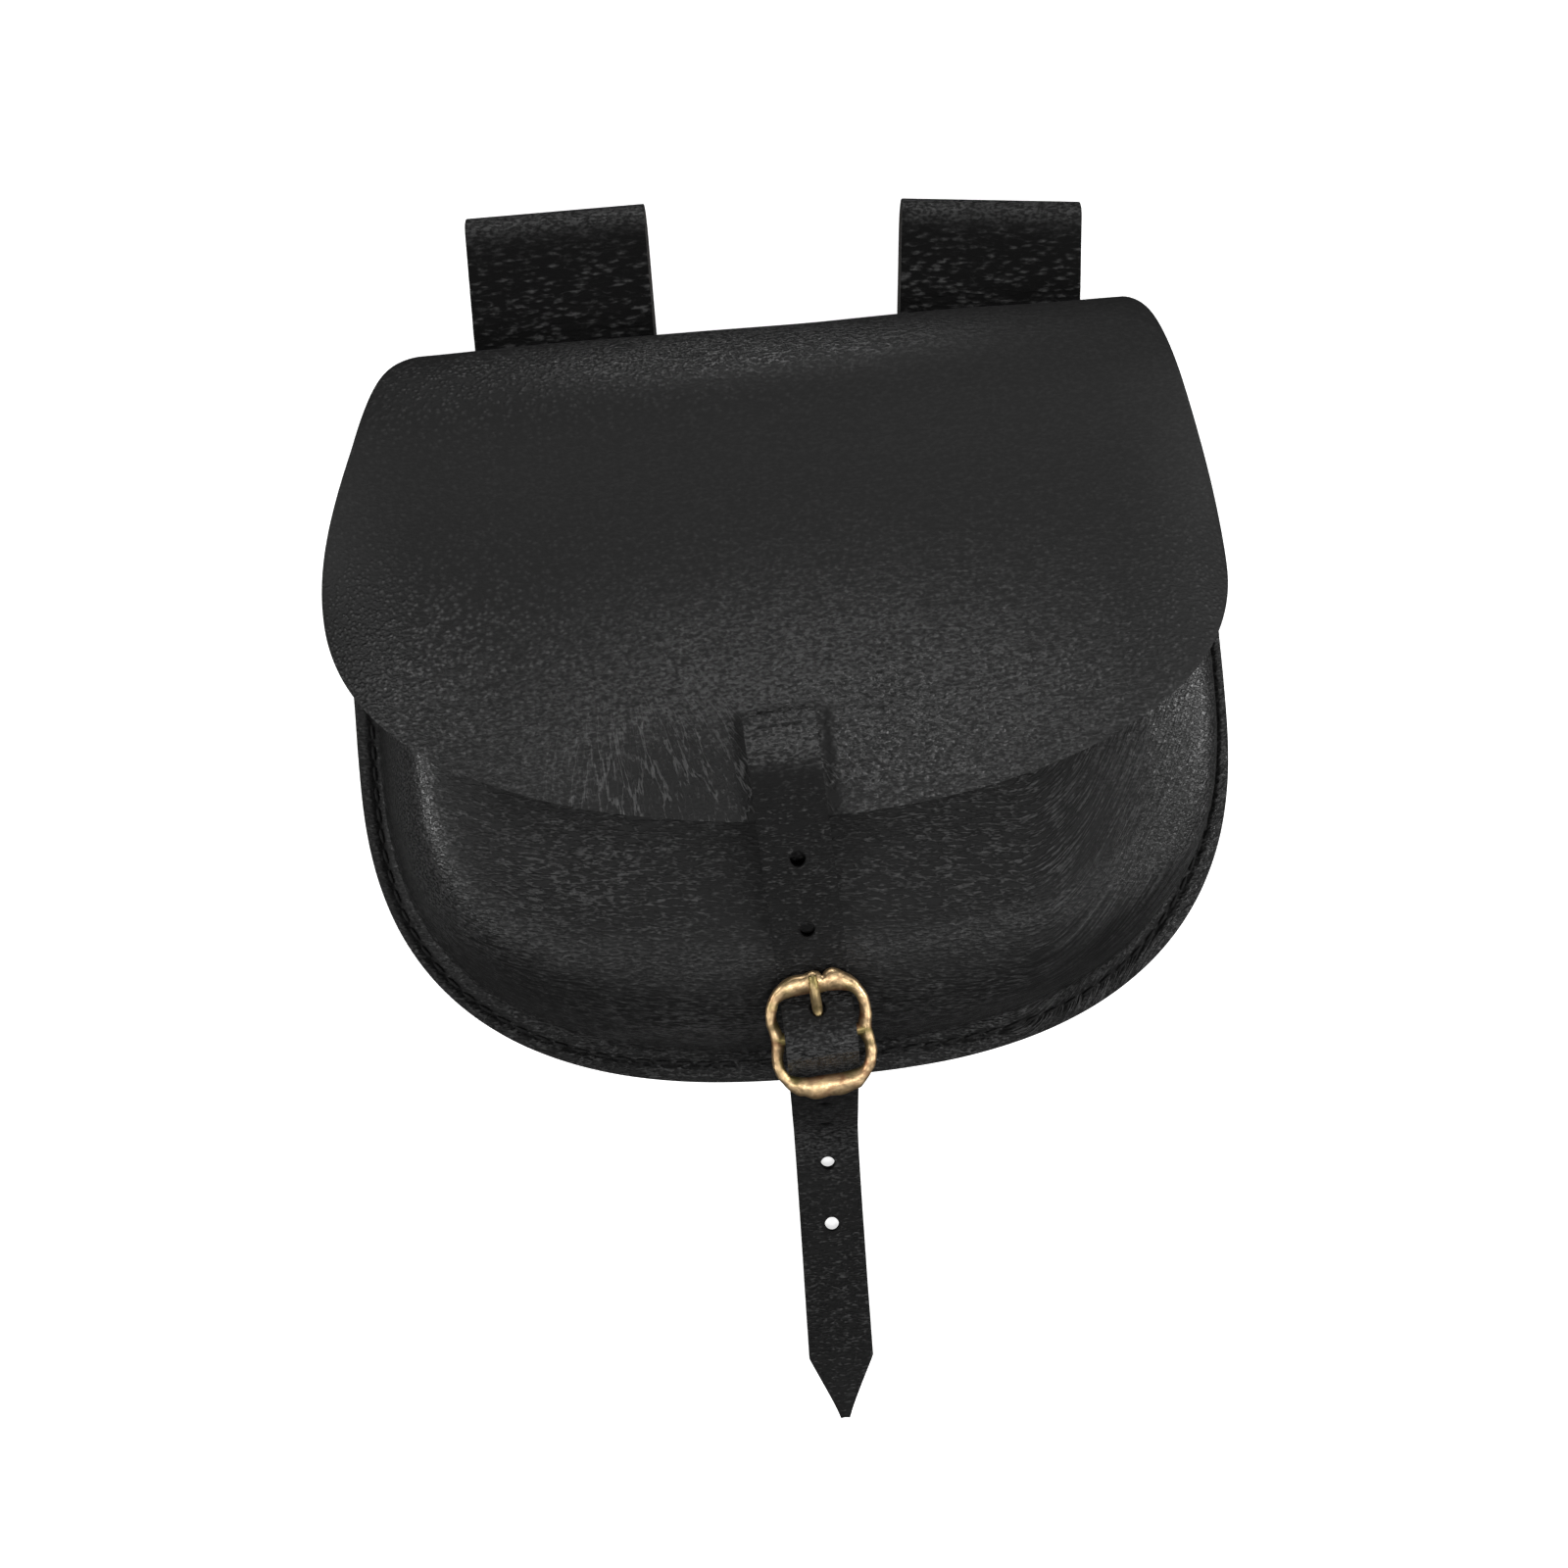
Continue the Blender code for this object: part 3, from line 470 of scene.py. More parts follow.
@dataclass(frozen=True)
class GrainSide:
    """The dyed and waxed outer side of the leather."""

    name: str
    tone: float = 0.040  # how light the tops of the grain are: worn dye, and painted highlights on the tops
    hollow: float = 0.001  # how light its hollows are: painted shade in them
    gloss: float = 0.27  # roughness where wear has polished it
    dull: float = 0.56  # roughness where it hasn't
    specular: float = 0.36
    plain: Pair = (0.15, 0.50)  # height between the patterns, where dull and where polished; higher polish gives a lighter colour, painted light and shade by region
    fine: Pair = (0.12, 0.60)  # how strongly the fine grain shows, likewise
    depth: float = 0.25 * MM
    cell: float = 1.15 * MM  # height of a pebble
    spread: float = 1.0  # how much wider than high it is
    squeeze: Pair = (0.9, 1.1)  # how closely pebbles lie across and along
    dash: Pair = (1.1 * MM, 0.62 * MM)  # width and height of the fine grain
    crease: Pair = (5.5 * MM, 1.25 * MM)  # length of a crease, and the distance to the next
    crease_width: float = 0.078
    line_height: float = 0.65
    row_spread: float = 2.4  # how much wider than high the wrinkles between the creases are
    row_crowding: float = 1.5  # rows of wrinkles for each crease
    row_height: float = 0.55
    stress: Pair = (3.0 * MM, 15.0 * MM)  # distance between two stress lines, and their length
    stress_width: float = 0.040
    forking: Pair = (2.1, 3.4)  # forks for each stress line, across and along
    fork_width: float = 0.050
    fork_height: float = 0.4
    straying: Pair = (0.5, 0.7)  # how far cells are pushed about, and how often
    middle: float = 0.32  # height in a pattern that leaves the surface where it is
    fine_grows: Pair = (0.1, 0.8)  # polish between which the fine grain grows
    cloudy: float = 24.0  # clouds of wear in a metre
    cloud_sheen: float = 0.10
    # how much lighter the creases are coloured: painted highlight along them
    crease_highlight: float = 0.4
    speckle: Pair = (0.4, 0.85)  # how far the fine grain shades, and the shade without it
    contrast: float = 1.5
    hollow_dulls: Pair = (0.16, -0.04)  # added to the roughness in hollows and on tops

    def patterns(self, w: Wiring) -> tuple[Socket, ...]:
        """Draws the patterns.

        Args:
            w: The material's nodes.

        Returns:
            The heights of the pebbles, of the level and the upright creases, and of the fine grain.
        """
        wide, high = 1.0 / self.dash[0], 1.0 / self.dash[1]
        fine = w.sum(w.mottle(w.stretched((wide, high, high))), -0.5)
        dense = 1.0 / self.cell
        cells = w.stretched((self.squeeze[0] * dense / self.spread, self.squeeze[1] * dense, dense))
        pebbles = w.domes(w.wander(cells, *self.straying))
        long, near = 1.0 / self.crease[0], 1.0 / self.crease[1]
        lines = w.folds(w.counted(FLOW, (long, near, near)), self.crease_width)
        near *= self.row_crowding
        rows = w.domes(w.wander(w.counted(FLOW, (near / self.row_spread, near, near)), *self.straying))
        level = w.sum(w.times(lines, self.line_height), w.times(rows, self.row_height))
        near, long = 1.0 / self.stress[0], 1.0 / self.stress[1]
        stress = w.folds(w.counted(FAN, (near, long, near)), self.stress_width)
        near *= self.forking[0]
        forks = w.folds(w.counted(FAN, (near, self.forking[1] * long, near)), self.fork_width)
        return pebbles, level, w.sum(stress, w.times(forks, self.fork_height)), fine

    def make(self) -> Material:
        """Builds the material.

        Returns:
            Black leather with fine grain, pebbles and creases, each as strong as the piece says.
        """
        w = Wiring(self.name)
        pebbles, level, upright, fine = self.patterns(w)
        sheen_and_painted_light = w.strength(Grain.SHEEN_AND_PAINTED_LIGHT)
        strewn = w.times(fine, w.span(sheen_and_painted_light, *self.fine_grows, *self.fine))
        height = w.sum(w.span(sheen_and_painted_light, 0.0, 1.0, *self.plain), strewn)

        def shown(pattern: Socket, grain: Grain) -> Socket:
            """A pattern as strong as the piece says."""
            return w.times(w.sum(pattern, -self.middle), w.strength(grain))

        creases = w.sum(shown(level, Grain.LEVEL), shown(upright, Grain.UPRIGHT))
        height = w.sum(w.sum(height, shown(pebbles, Grain.PEBBLE)), creases)
        worn = w.sum(sheen_and_painted_light, w.cloud(w.noise(even(self.cloudy), 3.0), -self.cloud_sheen, self.cloud_sheen))
        # Colour from dark hollows to light tops, lighter with polish: painted shade in the hollows, painted
        # highlights on the tops, creases and polished places, with worn dye
        speckle = w.sum(w.times(fine, self.speckle[0]), self.speckle[1])
        shade = w.times(w.sum(height, w.times(creases, self.crease_highlight)), speckle)
        above = w.add("Math", {0: shade, 1: 0.0}, operation="MAXIMUM")
        raised = w.add("Math", {0: above, 1: self.contrast}, operation="POWER", use_clamp=True)
        colour = w.blend(raised, grey(self.hollow), grey(self.tone))
        between = {"Value": worn, "From Min": 0.0, "From Max": 1.0, "To Min": self.dull, "To Max": self.gloss}
        roughness = w.sum(w.add("MapRange", between), w.span(raised, 0.0, 0.5, *self.hollow_dulls))
        w.shader.inputs["Specular IOR Level"].default_value = self.specular
        return w.finish(colour, roughness, height, self.depth)


@dataclass(frozen=True)
class CutEdge:
    """The cut edge of the leather, stained and burnished by wear."""

    name: str
    tone: float
    fibres: Triple = (900.0, 900.0, 2600.0)  # in a metre along each axis
    depth: float = 0.08 * MM

    def make(self) -> Material:
        """Builds the material.

        Returns:
            Fibrous stained leather, lighter where the stain has rubbed off.
        """
        w = Wiring(self.name)
        fibres = w.noise(self.fibres, 3.0)
        wear_and_highlight = w.noise(even(60.0), 2.0)
        light = (self.tone * 1.9, self.tone * 1.75, self.tone * 1.6, 1.0)
        share = w.times(w.cloud(fibres, 0.2, 1.0), w.span(wear_and_highlight, 0.35, 0.65, 0.25, 1.0))
        colour = w.blend(share, grey(self.tone * 0.6), light)
        return w.finish(colour, w.cloud(fibres, 0.5, 0.72), fibres, self.depth)


@dataclass(frozen=True)
class FleshSide:
    """The rough inner side of the leather."""

    name: str
    dark: Triple = (0.020, 0.018, 0.017)
    light: Triple = (0.036, 0.032, 0.029)
    depth: float = 0.15 * MM

    def make(self) -> Material:
        """Builds the material.

        Returns:
            Dark napped leather.
        """
        w = Wiring(self.name)
        nap = w.noise(even(1500.0), 4.0)
        share = w.cloud(w.noise(even(70.0), 3.0), 0.0, 1.0)
        colour = w.blend(share, (*self.dark, 1.0), (*self.light, 1.0))
        return w.finish(colour, w.cloud(nap, 0.85, 0.95), nap, self.depth)


@dataclass(frozen=True)
class Thread:
    """Waxed black linen thread."""

    name: str
    dark: float = 0.006
    light: float = 0.016
    specular: float = 0.15
    depth: float = 0.12 * MM

    def make(self) -> Material:
        """Builds the material.

        Returns:
            Twisted black thread.
        """
        w = Wiring(self.name)
        twist = w.noise(even(1800.0), 2.0)
        colour = w.blend(w.cloud(twist, 0.0, 1.0), grey(self.dark), grey(self.light))
        w.shader.inputs["Specular IOR Level"].default_value = self.specular
        return w.finish(colour, w.cloud(twist, 0.65, 0.8), twist, self.depth)


@dataclass(frozen=True)
class CastBrass:
    """Sand-cast brass, tumbled bright, with brown and olive tarnish left in its hollows."""

    name: str
    bright: Triple = (0.70, 0.50, 0.28)
    brown: Triple = (0.33, 0.17, 0.09)
    olive: Triple = (0.25, 0.20, 0.08)
    depth: float = 0.12 * MM

    def make(self) -> Material:
        """Builds the material.

        Returns:
            Uneven brass.
        """
        w = Wiring(self.name)
        lumps = w.noise(even(420.0), 3.0)
        grit = w.noise(even(2600.0), 3.0)
        hollow = w.strength(Grain.PEBBLE)
        spots = w.sum(hollow, w.span(lumps, 0.45, 0.70, 0.0, 0.65))
        share = w.add("Math", {0: spots, 1: 0.0}, operation="ADD", use_clamp=True)
        tints = w.noise(even(190.0), 1.0)
        old = w.blend(w.span(tints, 0.42, 0.58, 0.0, 1.0), (*self.brown, 1.0), (*self.olive, 1.0))
        colour = w.blend(share, (*self.bright, 1.0), old)
        roughness = w.sum(w.cloud(grit, 0.34, 0.48), w.times(share, 0.12))
        height = w.sum(lumps, w.times(grit, 0.25))
        w.shader.inputs["Metallic"].default_value = 1.0
        return w.finish(colour, roughness, height, self.depth)


@dataclass(frozen=True)
class Floor:
    """The pale surface that the pouch lies on."""

    half_size: float = 4.0
    below: float = 0.3 * MM
    tone: float = 0.86
    glow: float = 0.70  # a light table, lit from below

    def build(self) -> None:
        """Adds the floor, which isn't part of the pouch."""
        shape = bmesh.new()
        bmesh.ops.create_grid(shape, x_segments=1, y_segments=1, size=self.half_size)
        bmesh.ops.translate(shape, verts=shape.verts, vec=(0.0, 0.0, -self.below))
        w = Wiring("pale_floor")
        speck = w.cloud(w.noise(even(40.0), 2.0), 0.0, 1.0)
        colour = w.blend(speck, grey(self.tone * 0.995), grey(self.tone))
        w.tree.links.new(colour, w.shader.inputs["Base Color"])
        fixed = {
            "Roughness": 0.9,
            "Specular IOR Level": 0.1,
            "Emission Color": grey(1.0),
            "Emission Strength": self.glow,
        }
        for socket, value in fixed.items():
            w.shader.inputs[socket].default_value = value
        floor = add_piece("floor", shape, [w.material])
        floor.visible_glossy = False


@dataclass(frozen=True)
class SoftBox:
    """One large soft lamp."""

    name: str
    place: Triple
    size: Pair
    power: float

    def build(self, target: Vector) -> None:
        """Adds the lamp.

        Args:
            target: What it points at.
        """
        lamp = bpy.data.lights.new(self.name, "AREA")
        lamp.shape = "RECTANGLE"
        lamp.size, lamp.size_y = self.size
        lamp.energy = self.power
        holder = bpy.data.objects.new(self.name, lamp)
        holder.location = self.place
        holder.rotation_mode = "QUATERNION"
        holder.rotation_quaternion = (target - holder.location).to_track_quat("-Z", "Y")
        holder.visible_camera = False
        bpy.context.scene.collection.objects.link(holder)


@dataclass(frozen=True)
class Studio:
    """Floor, soft light and the camera at the photograph's angle."""

    camera_place: Triple = (-3.0 * MM, -12.0 * MM, 420.0 * MM)
    camera_roll: float = math.radians(-4.9)
    focal_pixels: float = 1764.0
    image_pixels: float = 1600.0
    sensor_mm: float = 36.0
    target: Triple = (0.0, 0.0, 30.0 * MM)
    sight: Pair = (0.02, 20.0)
    sky: float = 0.04
    lamps: tuple[SoftBox, ...] = (
        SoftBox("overhead_softbox", (0.0, -0.45, 1.15), (0.36, 0.20), 4.2),
        SoftBox("front_left_softbox", (-0.60, -0.60, 0.74), (0.3, 0.3), 1.4),
        SoftBox("front_right_softbox", (0.60, -0.60, 0.74), (0.3, 0.3), 2.2),
        SoftBox("left_softbox", (-1.0, 0.0, 0.60), (0.3, 0.5), 6.5),
        SoftBox("right_softbox", (1.0, 0.0, 0.60), (0.4, 0.5), 9.0),
        SoftBox("rear_softbox", (0.0, 1.0, 0.50), (0.4, 0.4), 4.0),
    )

    def build(self) -> None:
        """Adds the camera, the lamps, the surrounding light and the floor."""
        scene = bpy.context.scene
        camera = bpy.data.cameras.new("camera")
        camera.sensor_width = self.sensor_mm
        camera.lens = self.sensor_mm * self.focal_pixels / self.image_pixels
        camera.clip_start, camera.clip_end = self.sight
        holder = bpy.data.objects.new("camera", camera)
        holder.location = self.camera_place
        holder.rotation_euler = (0.0, 0.0, self.camera_roll)
        scene.collection.objects.link(holder)
        scene.camera = holder
        scene.view_settings.view_transform = "Standard"
        for lamp in self.lamps:
            lamp.build(Vector(self.target))
        world = bpy.data.worlds.new("studio")
        world.use_nodes = True
        background = world.node_tree.nodes["Background"]
        background.inputs["Color"].default_value = grey(1.0)
        background.inputs["Strength"].default_value = self.sky
        scene.world = world
        Floor().build()


@dataclass(frozen=True)
class Leather:
    """The four finishes that each cut of leather shows, and its thickness."""

    grain: GrainSide
    thickness: float = 2.0 * MM
    burnish: float = 0.32 * MM  # radius of the rubbed corners of a cut edge
    sharp: float = math.radians(50.0)  # what counts as a corner
    # how light the stained cut edge is, kept light as painted highlight along the edges
    edge_tone: float = 0.080
    corner_slot: int = 1  # material of the rubbed corners: 1 is the cut edge's, -1 the neighbour's

    def materials(self) -> list[Material]:
        """Grain side, cut edge and flesh side, in the order of the slots that cut uses."""
        stem = self.grain.name
        edge = CutEdge(stem + "_edge", self.edge_tone)
        return [self.grain.make(), edge.make(), FleshSide(stem + "_flesh").make()]

    def cut(
        self,
        name: str,
        shape: Shape,
        zones: dict[Grain, Zone],
        fan: Run | None = None,
        flow: Run = Vector.copy,
        place: Matrix | None = None,
        offset: float = 0.0,
        cutters: Pieces = (),
    ) -> Piece:
        """Makes a surface a finished wall of this leather.

        Args:
            name: The piece's name.
            shape: The surface, with its grain side out, which is used up.
            zones: How strongly a pattern shows at a point, and one that isn't named doesn't show.
            fan: The coordinates of the stress lines, on a piece that has them.
            flow: The coordinates of the other creases.
            place: Where the surface goes once it has its coordinates.
            offset: 0 if the surface is the wall's middle, -1 if it is the outer face.
            cutters: What is punched out of the wall before its edges are rubbed round.

        Returns:
            The piece.
        """
        piece = add_piece(name, shape, self.materials())
        places = [vertex.co for vertex in piece.data.vertices]
        for grain in Grain:
            values = [max(0.0, zones[grain](spot)) if grain in zones else 0.0 for spot in places]
            attribute = piece.data.attributes.new(grain.value, "FLOAT", "POINT")
            attribute.data.foreach_set("value", values)
        for run_name, run in ((FLOW, flow), (FAN, fan)):
            if run:
                values = [part for spot in places for part in run(spot)]
                attribute = piece.data.attributes.new(run_name, "FLOAT_VECTOR", "POINT")
                attribute.data.foreach_set("vector", values)
        if place:
            piece.data.transform(place)
        sides = {"material_offset_rim": 1, "material_offset": 2}
        even_wall = {"use_even_offset": True, "use_quality_normals": True}
        modify(piece, "wall", "SOLIDIFY", thickness=self.thickness, offset=offset, **even_wall, **sides)
        if cutters:
            combine(piece, cutters, "DIFFERENCE")
        rounded = {"segments": 2, "profile": 0.5, "limit_method": "ANGLE", "angle_limit": self.sharp}
        modify(piece, "burnish", "BEVEL", width=self.burnish, material=self.corner_slot, **rounded)
        return piece


@dataclass(frozen=True)
class Form:
    """Outlines and heights that the pieces share. Its sizes are those of the solids."""

    leather: float = 2.0 * MM
    seam_gap: float = 0.3 * MM
    flap_gap: float = 0.5 * MM
    half_width: float = 104.5 * MM
    drop: float = 83.0 * MM
    fullness: float = 2.56
    fold_half_width: float = 82.0 * MM
    side_fullness: float = 1.4
    depth: float = 54.0 * MM
    mouth_depth: float = 48.0 * MM
    low_depth: float = 52.2 * MM
    mouth_y: float = 58.0 * MM
    crown_drop: float = 3.0 * MM
    lean: float = 4.5 * MM
    side_run: float = 34.0 * MM
    bottom_run: float = 42.0 * MM
    flap_half_width: float = 98.0 * MM
    flap_widest_y: float = 31.0 * MM
    flap_drop: float = 50.4 * MM
    flap_fullness: float = 2.08
    fold_shift: float = 1.9 * MM
    flap_shift: float = -1.8 * MM
    tip_shift: float = -5.8 * MM
    flap_skew: float = 0.04
    flap_droop: float = 7.0 * MM
    droop_start: float = 74.0 * MM
    droop_at_fold: float = 0.35
    fold_y: float = 68.3 * MM
    rise_start_y: float = 10.0 * MM
    rise_end_y: float = 38.0 * MM
    # share of side_run, share of bottom_run, share of the height
    sections: Table = (
        (0.00, 0.00, 0.00),  # cut edge
        (0.13, 0.13, 0.00),  # seam
        (0.17, 0.18, 0.03),  # foot
        (0.23, 0.24, 0.20),
        (0.32, 0.31, 0.46),
        (0.42, 0.41, 0.72),
        (0.54, 0.56, 0.89),  # shoulder
        (0.80, 0.76, 0.955),
        (1.00, 1.00, 1.00),  # crown
    )
    last_row: float = 0.97
    curved: float = 0.70  # share of the front's ring that its rounded bottom takes

    @property
    def loop_stack(self) -> float:
        """Height of the two layers of a belt loop under the back."""
        return 2.0 * (self.leather + self.seam_gap)

    @property
    def flange_top(self) -> float:
        """Height of the front's outer face on the seam."""
        return 2.0 * self.leather + self.seam_gap

    @property
    def fold_radius(self) -> float:
        """Radius of the turn from the back into the flap, at the middle of the leather."""
        low = self.loop_stack + self.leather / 2.0
        high = self.mouth_depth + self.flap_gap + self.leather / 2.0
        return (high - low) / 2.0

    def rise_of_back(self, y: float) -> float:
        """Height of the back's outer face, which the loops under it lift near the fold."""
        return self.loop_stack * ease((y - self.rise_start_y) / (self.rise_end_y - self.rise_start_y))

    def side_of_body(self, y: float) -> float:
        """Half the width of the body above its widest line.

        Args:
            y: The place along the pouch.

        Returns:
            The width.
        """
        to_waist = self.fold_y + self.fold_radius * math.pi / 2.0
        share = min(max(y / to_waist, 0.0), 1.0)
        open_share = math.cos(math.pi / 2.0 * share**self.side_fullness) ** 2
        return self.fold_half_width + (self.half_width - self.fold_half_width) * open_share

    def crest(self, y: float) -> float:
        """Height of the front's outer face along its middle."""
        to_mouth = (self.depth - self.mouth_depth) * ease(y / self.mouth_y)
        low = (min(0.0, y) / (self.drop - self.bottom_run)) ** 2
        return self.depth - to_mouth - (self.depth - self.low_depth) * low

    def crown_fall(self, x: float) -> float:
        """How far the crown has fallen at a distance from the middle."""
        return self.crown_drop * (x / self.half_width) ** 2

    def wall_height(self, share: float, x: float, y: float) -> float:
        """Height of the front's outer face where its wall has reached a share of its height."""
        foot = self.flange_top + self.rise_of_back(y)
        return foot + share * (self.crest(y) - foot - self.crown_fall(x))

    def flap_middle(self, x: float, y: float) -> float:
        """Height of the middle of the flap's leather where it lies over the front.

        Args:
            x: The place across.
            y: The place along.

        Returns:
            The height.
        """
        hang = max(0.0, (abs(x) - self.droop_start) / (self.flap_half_width - self.droop_start))
        towards_fold = ease((y - self.flap_widest_y) / (self.fold_y - self.flap_widest_y))
        droop = self.flap_droop * (1.0 - (1.0 - self.droop_at_fold) * towards_fold)
        on_front = self.crest(y) + self.flap_gap + self.leather / 2.0
        return on_front - self.crown_fall(x) - droop * hang**2

    def curved_end(self, share: float, fullness: float) -> Pair:
        """Half-width and drop, as shares, on a rounded end: 0 at its widest, 1 at its tip."""
        angle = share * self.last_row * math.pi / 2.0
        power = 2.0 / fullness
        return math.cos(angle) ** power, math.sin(angle) ** power

    def flap_side(self, share: float) -> Pair:
        """Half the flap's width and its shift, from the fold's crown at 0 to its widest line at 1."""
        grown = ease(share)
        wide = self.fold_half_width + (self.flap_half_width - self.fold_half_width) * grown
        return wide, self.fold_shift + (self.flap_shift - self.fold_shift) * grown

    def ring_point(self, around: float, side_inset: float, bottom_inset: float, shrink: float) -> Pair:
        """A point of the front's U-shaped ring at an inset.

        Args:
            around: From -1, the left end of the mouth, to 1, the right end.
            side_inset: Distance inside the edge at the sides.
            bottom_inset: Distance inside the edge at the bottom.
            shrink: 1 on the wall, falling to 0 in the middle of the crown.

        Returns:
            X and Y.
        """
        share = abs(around)
        if share > self.curved:
            y = self.mouth_y * (share - self.curved) / (1.0 - self.curved)
            x = (self.side_of_body(y) - side_inset) * shrink
        else:
            angle = math.pi / 2.0 * share / self.curved
            power = 2.0 / self.fullness
            x = (self.half_width - side_inset) * shrink * math.sin(angle) ** power
            y = -(self.drop - bottom_inset) * shrink * abs(math.cos(angle)) ** power
        return math.copysign(x, around), y

    def wall_point(self, place: float) -> Vector:
        """A point of the front's outer face on its bottom line, counted in sections."""
        _, bottom, height = along(self.sections, place)
        y = -self.drop + bottom * self.bottom_run
        return Vector((0.0, y, self.wall_height(height, 0.0, y)))

    def wall_profile(self, place: float) -> tuple[Vector, Vector]:
        """A point of the front's outer face on its bottom line, and the way out of the face there."""
        step = 0.05
        slope = (self.wall_point(place + step) - self.wall_point(place - step)).normalized()
        return self.wall_point(place), Vector((0.0, -slope.z, slope.y))

    def front_height(self, y: float) -> float:
        """Height of the front's outer face on its middle line.

        Args:
            y: The place along.

        Returns:
            The height.
        """
        if y > self.bottom_run - self.drop:
            return self.crest(y)
        low, high = 0.0, float(len(self.sections) - 1)
        for _ in range(30):
            middle = (low + high) / 2.0
            if self.wall_point(middle).y < y:
                low = middle
            else:
                high = middle
        return self.wall_point(low).z


@dataclass(frozen=True)
class BackAndFlap:
    """The back, the turn at the top and the flap, cut from one piece of leather."""

    form: Form
    leather: Leather
    columns: int = 150
    curve_rows: int = 44
    back_rows: int = 34
    fold_rows: int = 44
    flap_rows: int = 34
    front_edge_rows: int = 66
    swell: float = 0.5 * MM  # unevenness of the flap
    edge_lift: float = 1.1 * MM  # how far the free front edge stands off the front
    edge_reach: float = 13.0 * MM
    edge_wave: float = 26.0 * MM
    swell_length: float = 38.0 * MM
    held_down: Pair = (2.0 * MM, 15.0 * MM)  # by the strap: middle and half-width
    narrow: float = 20.0 * MM  # half the width below which the swell fades towards the tip
    bulge_length: float = 30.0 * MM
    corner_rounding: Pair = (5.0 * MM, 2.5 * MM)  # of the fold's left and right end
    corner_starts: float = 0.8  # share of the half-width
    corner_turn: Pair = (0.15, 0.42)  # middle and half-width, as angles of the fold
    fan_centre: Pair = (-40.0 * MM, 45.0 * MM)
    fan_radius: float = 55.0 * MM
    cut_share: float = 0.86  # of its flat width and length, as its two ends are rounded
    # strong at the flap's lower left and right of the strap, hardly any above
    pebbles: Patches = (
        (0.60, -78.0, 26.0, 26.0, 20.0),
        (0.60, -96.0, 16.0, 12.0, 18.0),
        (0.65, 20.0, -8.0, 16.0, 14.0),
        (0.70, -66.0, 80.0, 26.0, 12.0),
        (0.55, -20.0, 82.0, 34.0, 12.0),
        (0.12, 0.0, 25.0, 60.0, 22.0),
    )
    # faint creases across the flap's lower half
    level_creases: Patches = (
        (0.22, 25.0, 22.0, 55.0, 22.0),
        (0.20, 55.0, 0.0, 30.0, 20.0),
        (0.15, 0.0, 85.0, 80.0, 8.0),
    )
    # stress creases beside the strap, from the leather being pulled down to the buckle
    upright_creases: Patches = ((1.8, -24.0, -9.0, 20.0, 12.0), (0.4, 10.0, -12.0, 9.0, 8.0))
    # polish, which also lightens the colour: painted highlight over the lower half and on the fold's crown,
    # painted shade at the right edge and a darker ground round the stress creases
    polish_and_painted_light: Patches = (
        (0.95, 2.0, 0.0, 78.0, 30.0),
        (-0.50, 94.0, 4.0, 14.0, 40.0),
        (-0.60, -25.0, -9.0, 18.0, 12.0),
        (0.80, -14.0, 84.0, 58.0, 8.0),
        (0.35, -84.0, 18.0, 20.0, 16.0),
    )

    def rows(self) -> SheetRows:
        """The sheet's rows.

        Returns:
            For each row y, half the width, the shift, the skew, and the angle of the fold: None on
            the back and half a turn on the flap.
        """
        f = self.form
        rows: SheetRows = []
        for i in range(self.curve_rows, 0, -1):
            wide, drop = f.curved_end(i / self.curve_rows, f.fullness)
            rows.append((-drop * f.drop, wide * f.half_width, 0.0, 0.0, None))
        for i in range(self.back_rows + 1):
            y = f.fold_y * i / self.back_rows
            rows.append((y, f.side_of_body(y), 0.0, 0.0, None))
        quarter = f.fold_radius * math.pi / 2.0
        whole = quarter + f.fold_y - f.flap_widest_y
        for i in range(1, self.fold_rows):
            angle = math.pi * (i / self.fold_rows - 0.5)
            if angle < 0.0:
                wide = f.side_of_body(f.fold_y + quarter + f.fold_radius * angle)
                shift = f.fold_shift * ease(1.0 + f.fold_radius * angle / quarter)
            else:
                wide, shift = f.flap_side(f.fold_radius * angle / whole)
            rows.append((f.fold_y + f.fold_radius * math.cos(angle), wide, shift, 0.0, angle))
        for i in range(self.flap_rows):
            down = (f.fold_y - f.flap_widest_y) * i / self.flap_rows
            wide, shift = f.flap_side((quarter + down) / whole)
            rows.append((f.fold_y - down, wide, shift, f.flap_skew * i / self.flap_rows, math.pi))
        for i in range(self.front_edge_rows + 1):
            wide, drop = f.curved_end(i / self.front_edge_rows, f.flap_fullness)
            y = f.flap_widest_y - drop * f.flap_drop
            shift = f.flap_shift + (f.tip_shift - f.flap_shift) * ease(i / self.front_edge_rows)
            rows.append((y, wide * f.flap_half_width, shift, f.flap_skew, math.pi))
        return rows

    def corner_trim(self, x: float, half_width: float, angle: float) -> float:
        """How far the rounded ends of the fold pull a point inwards.

        Args:
            x: The point's distance from the sheet's middle.
            half_width: Half the width there.
            angle: The angle of the fold.

        Returns:
            A move along X.
        """
        pull = self.corner_rounding[1] if x > 0.0 else self.corner_rounding[0]
        near_side = max(0.0, abs(x) / half_width - self.corner_starts) / (1.0 - self.corner_starts)
        return -math.copysign(pull * near_side * hill(angle, *self.corner_turn), x)

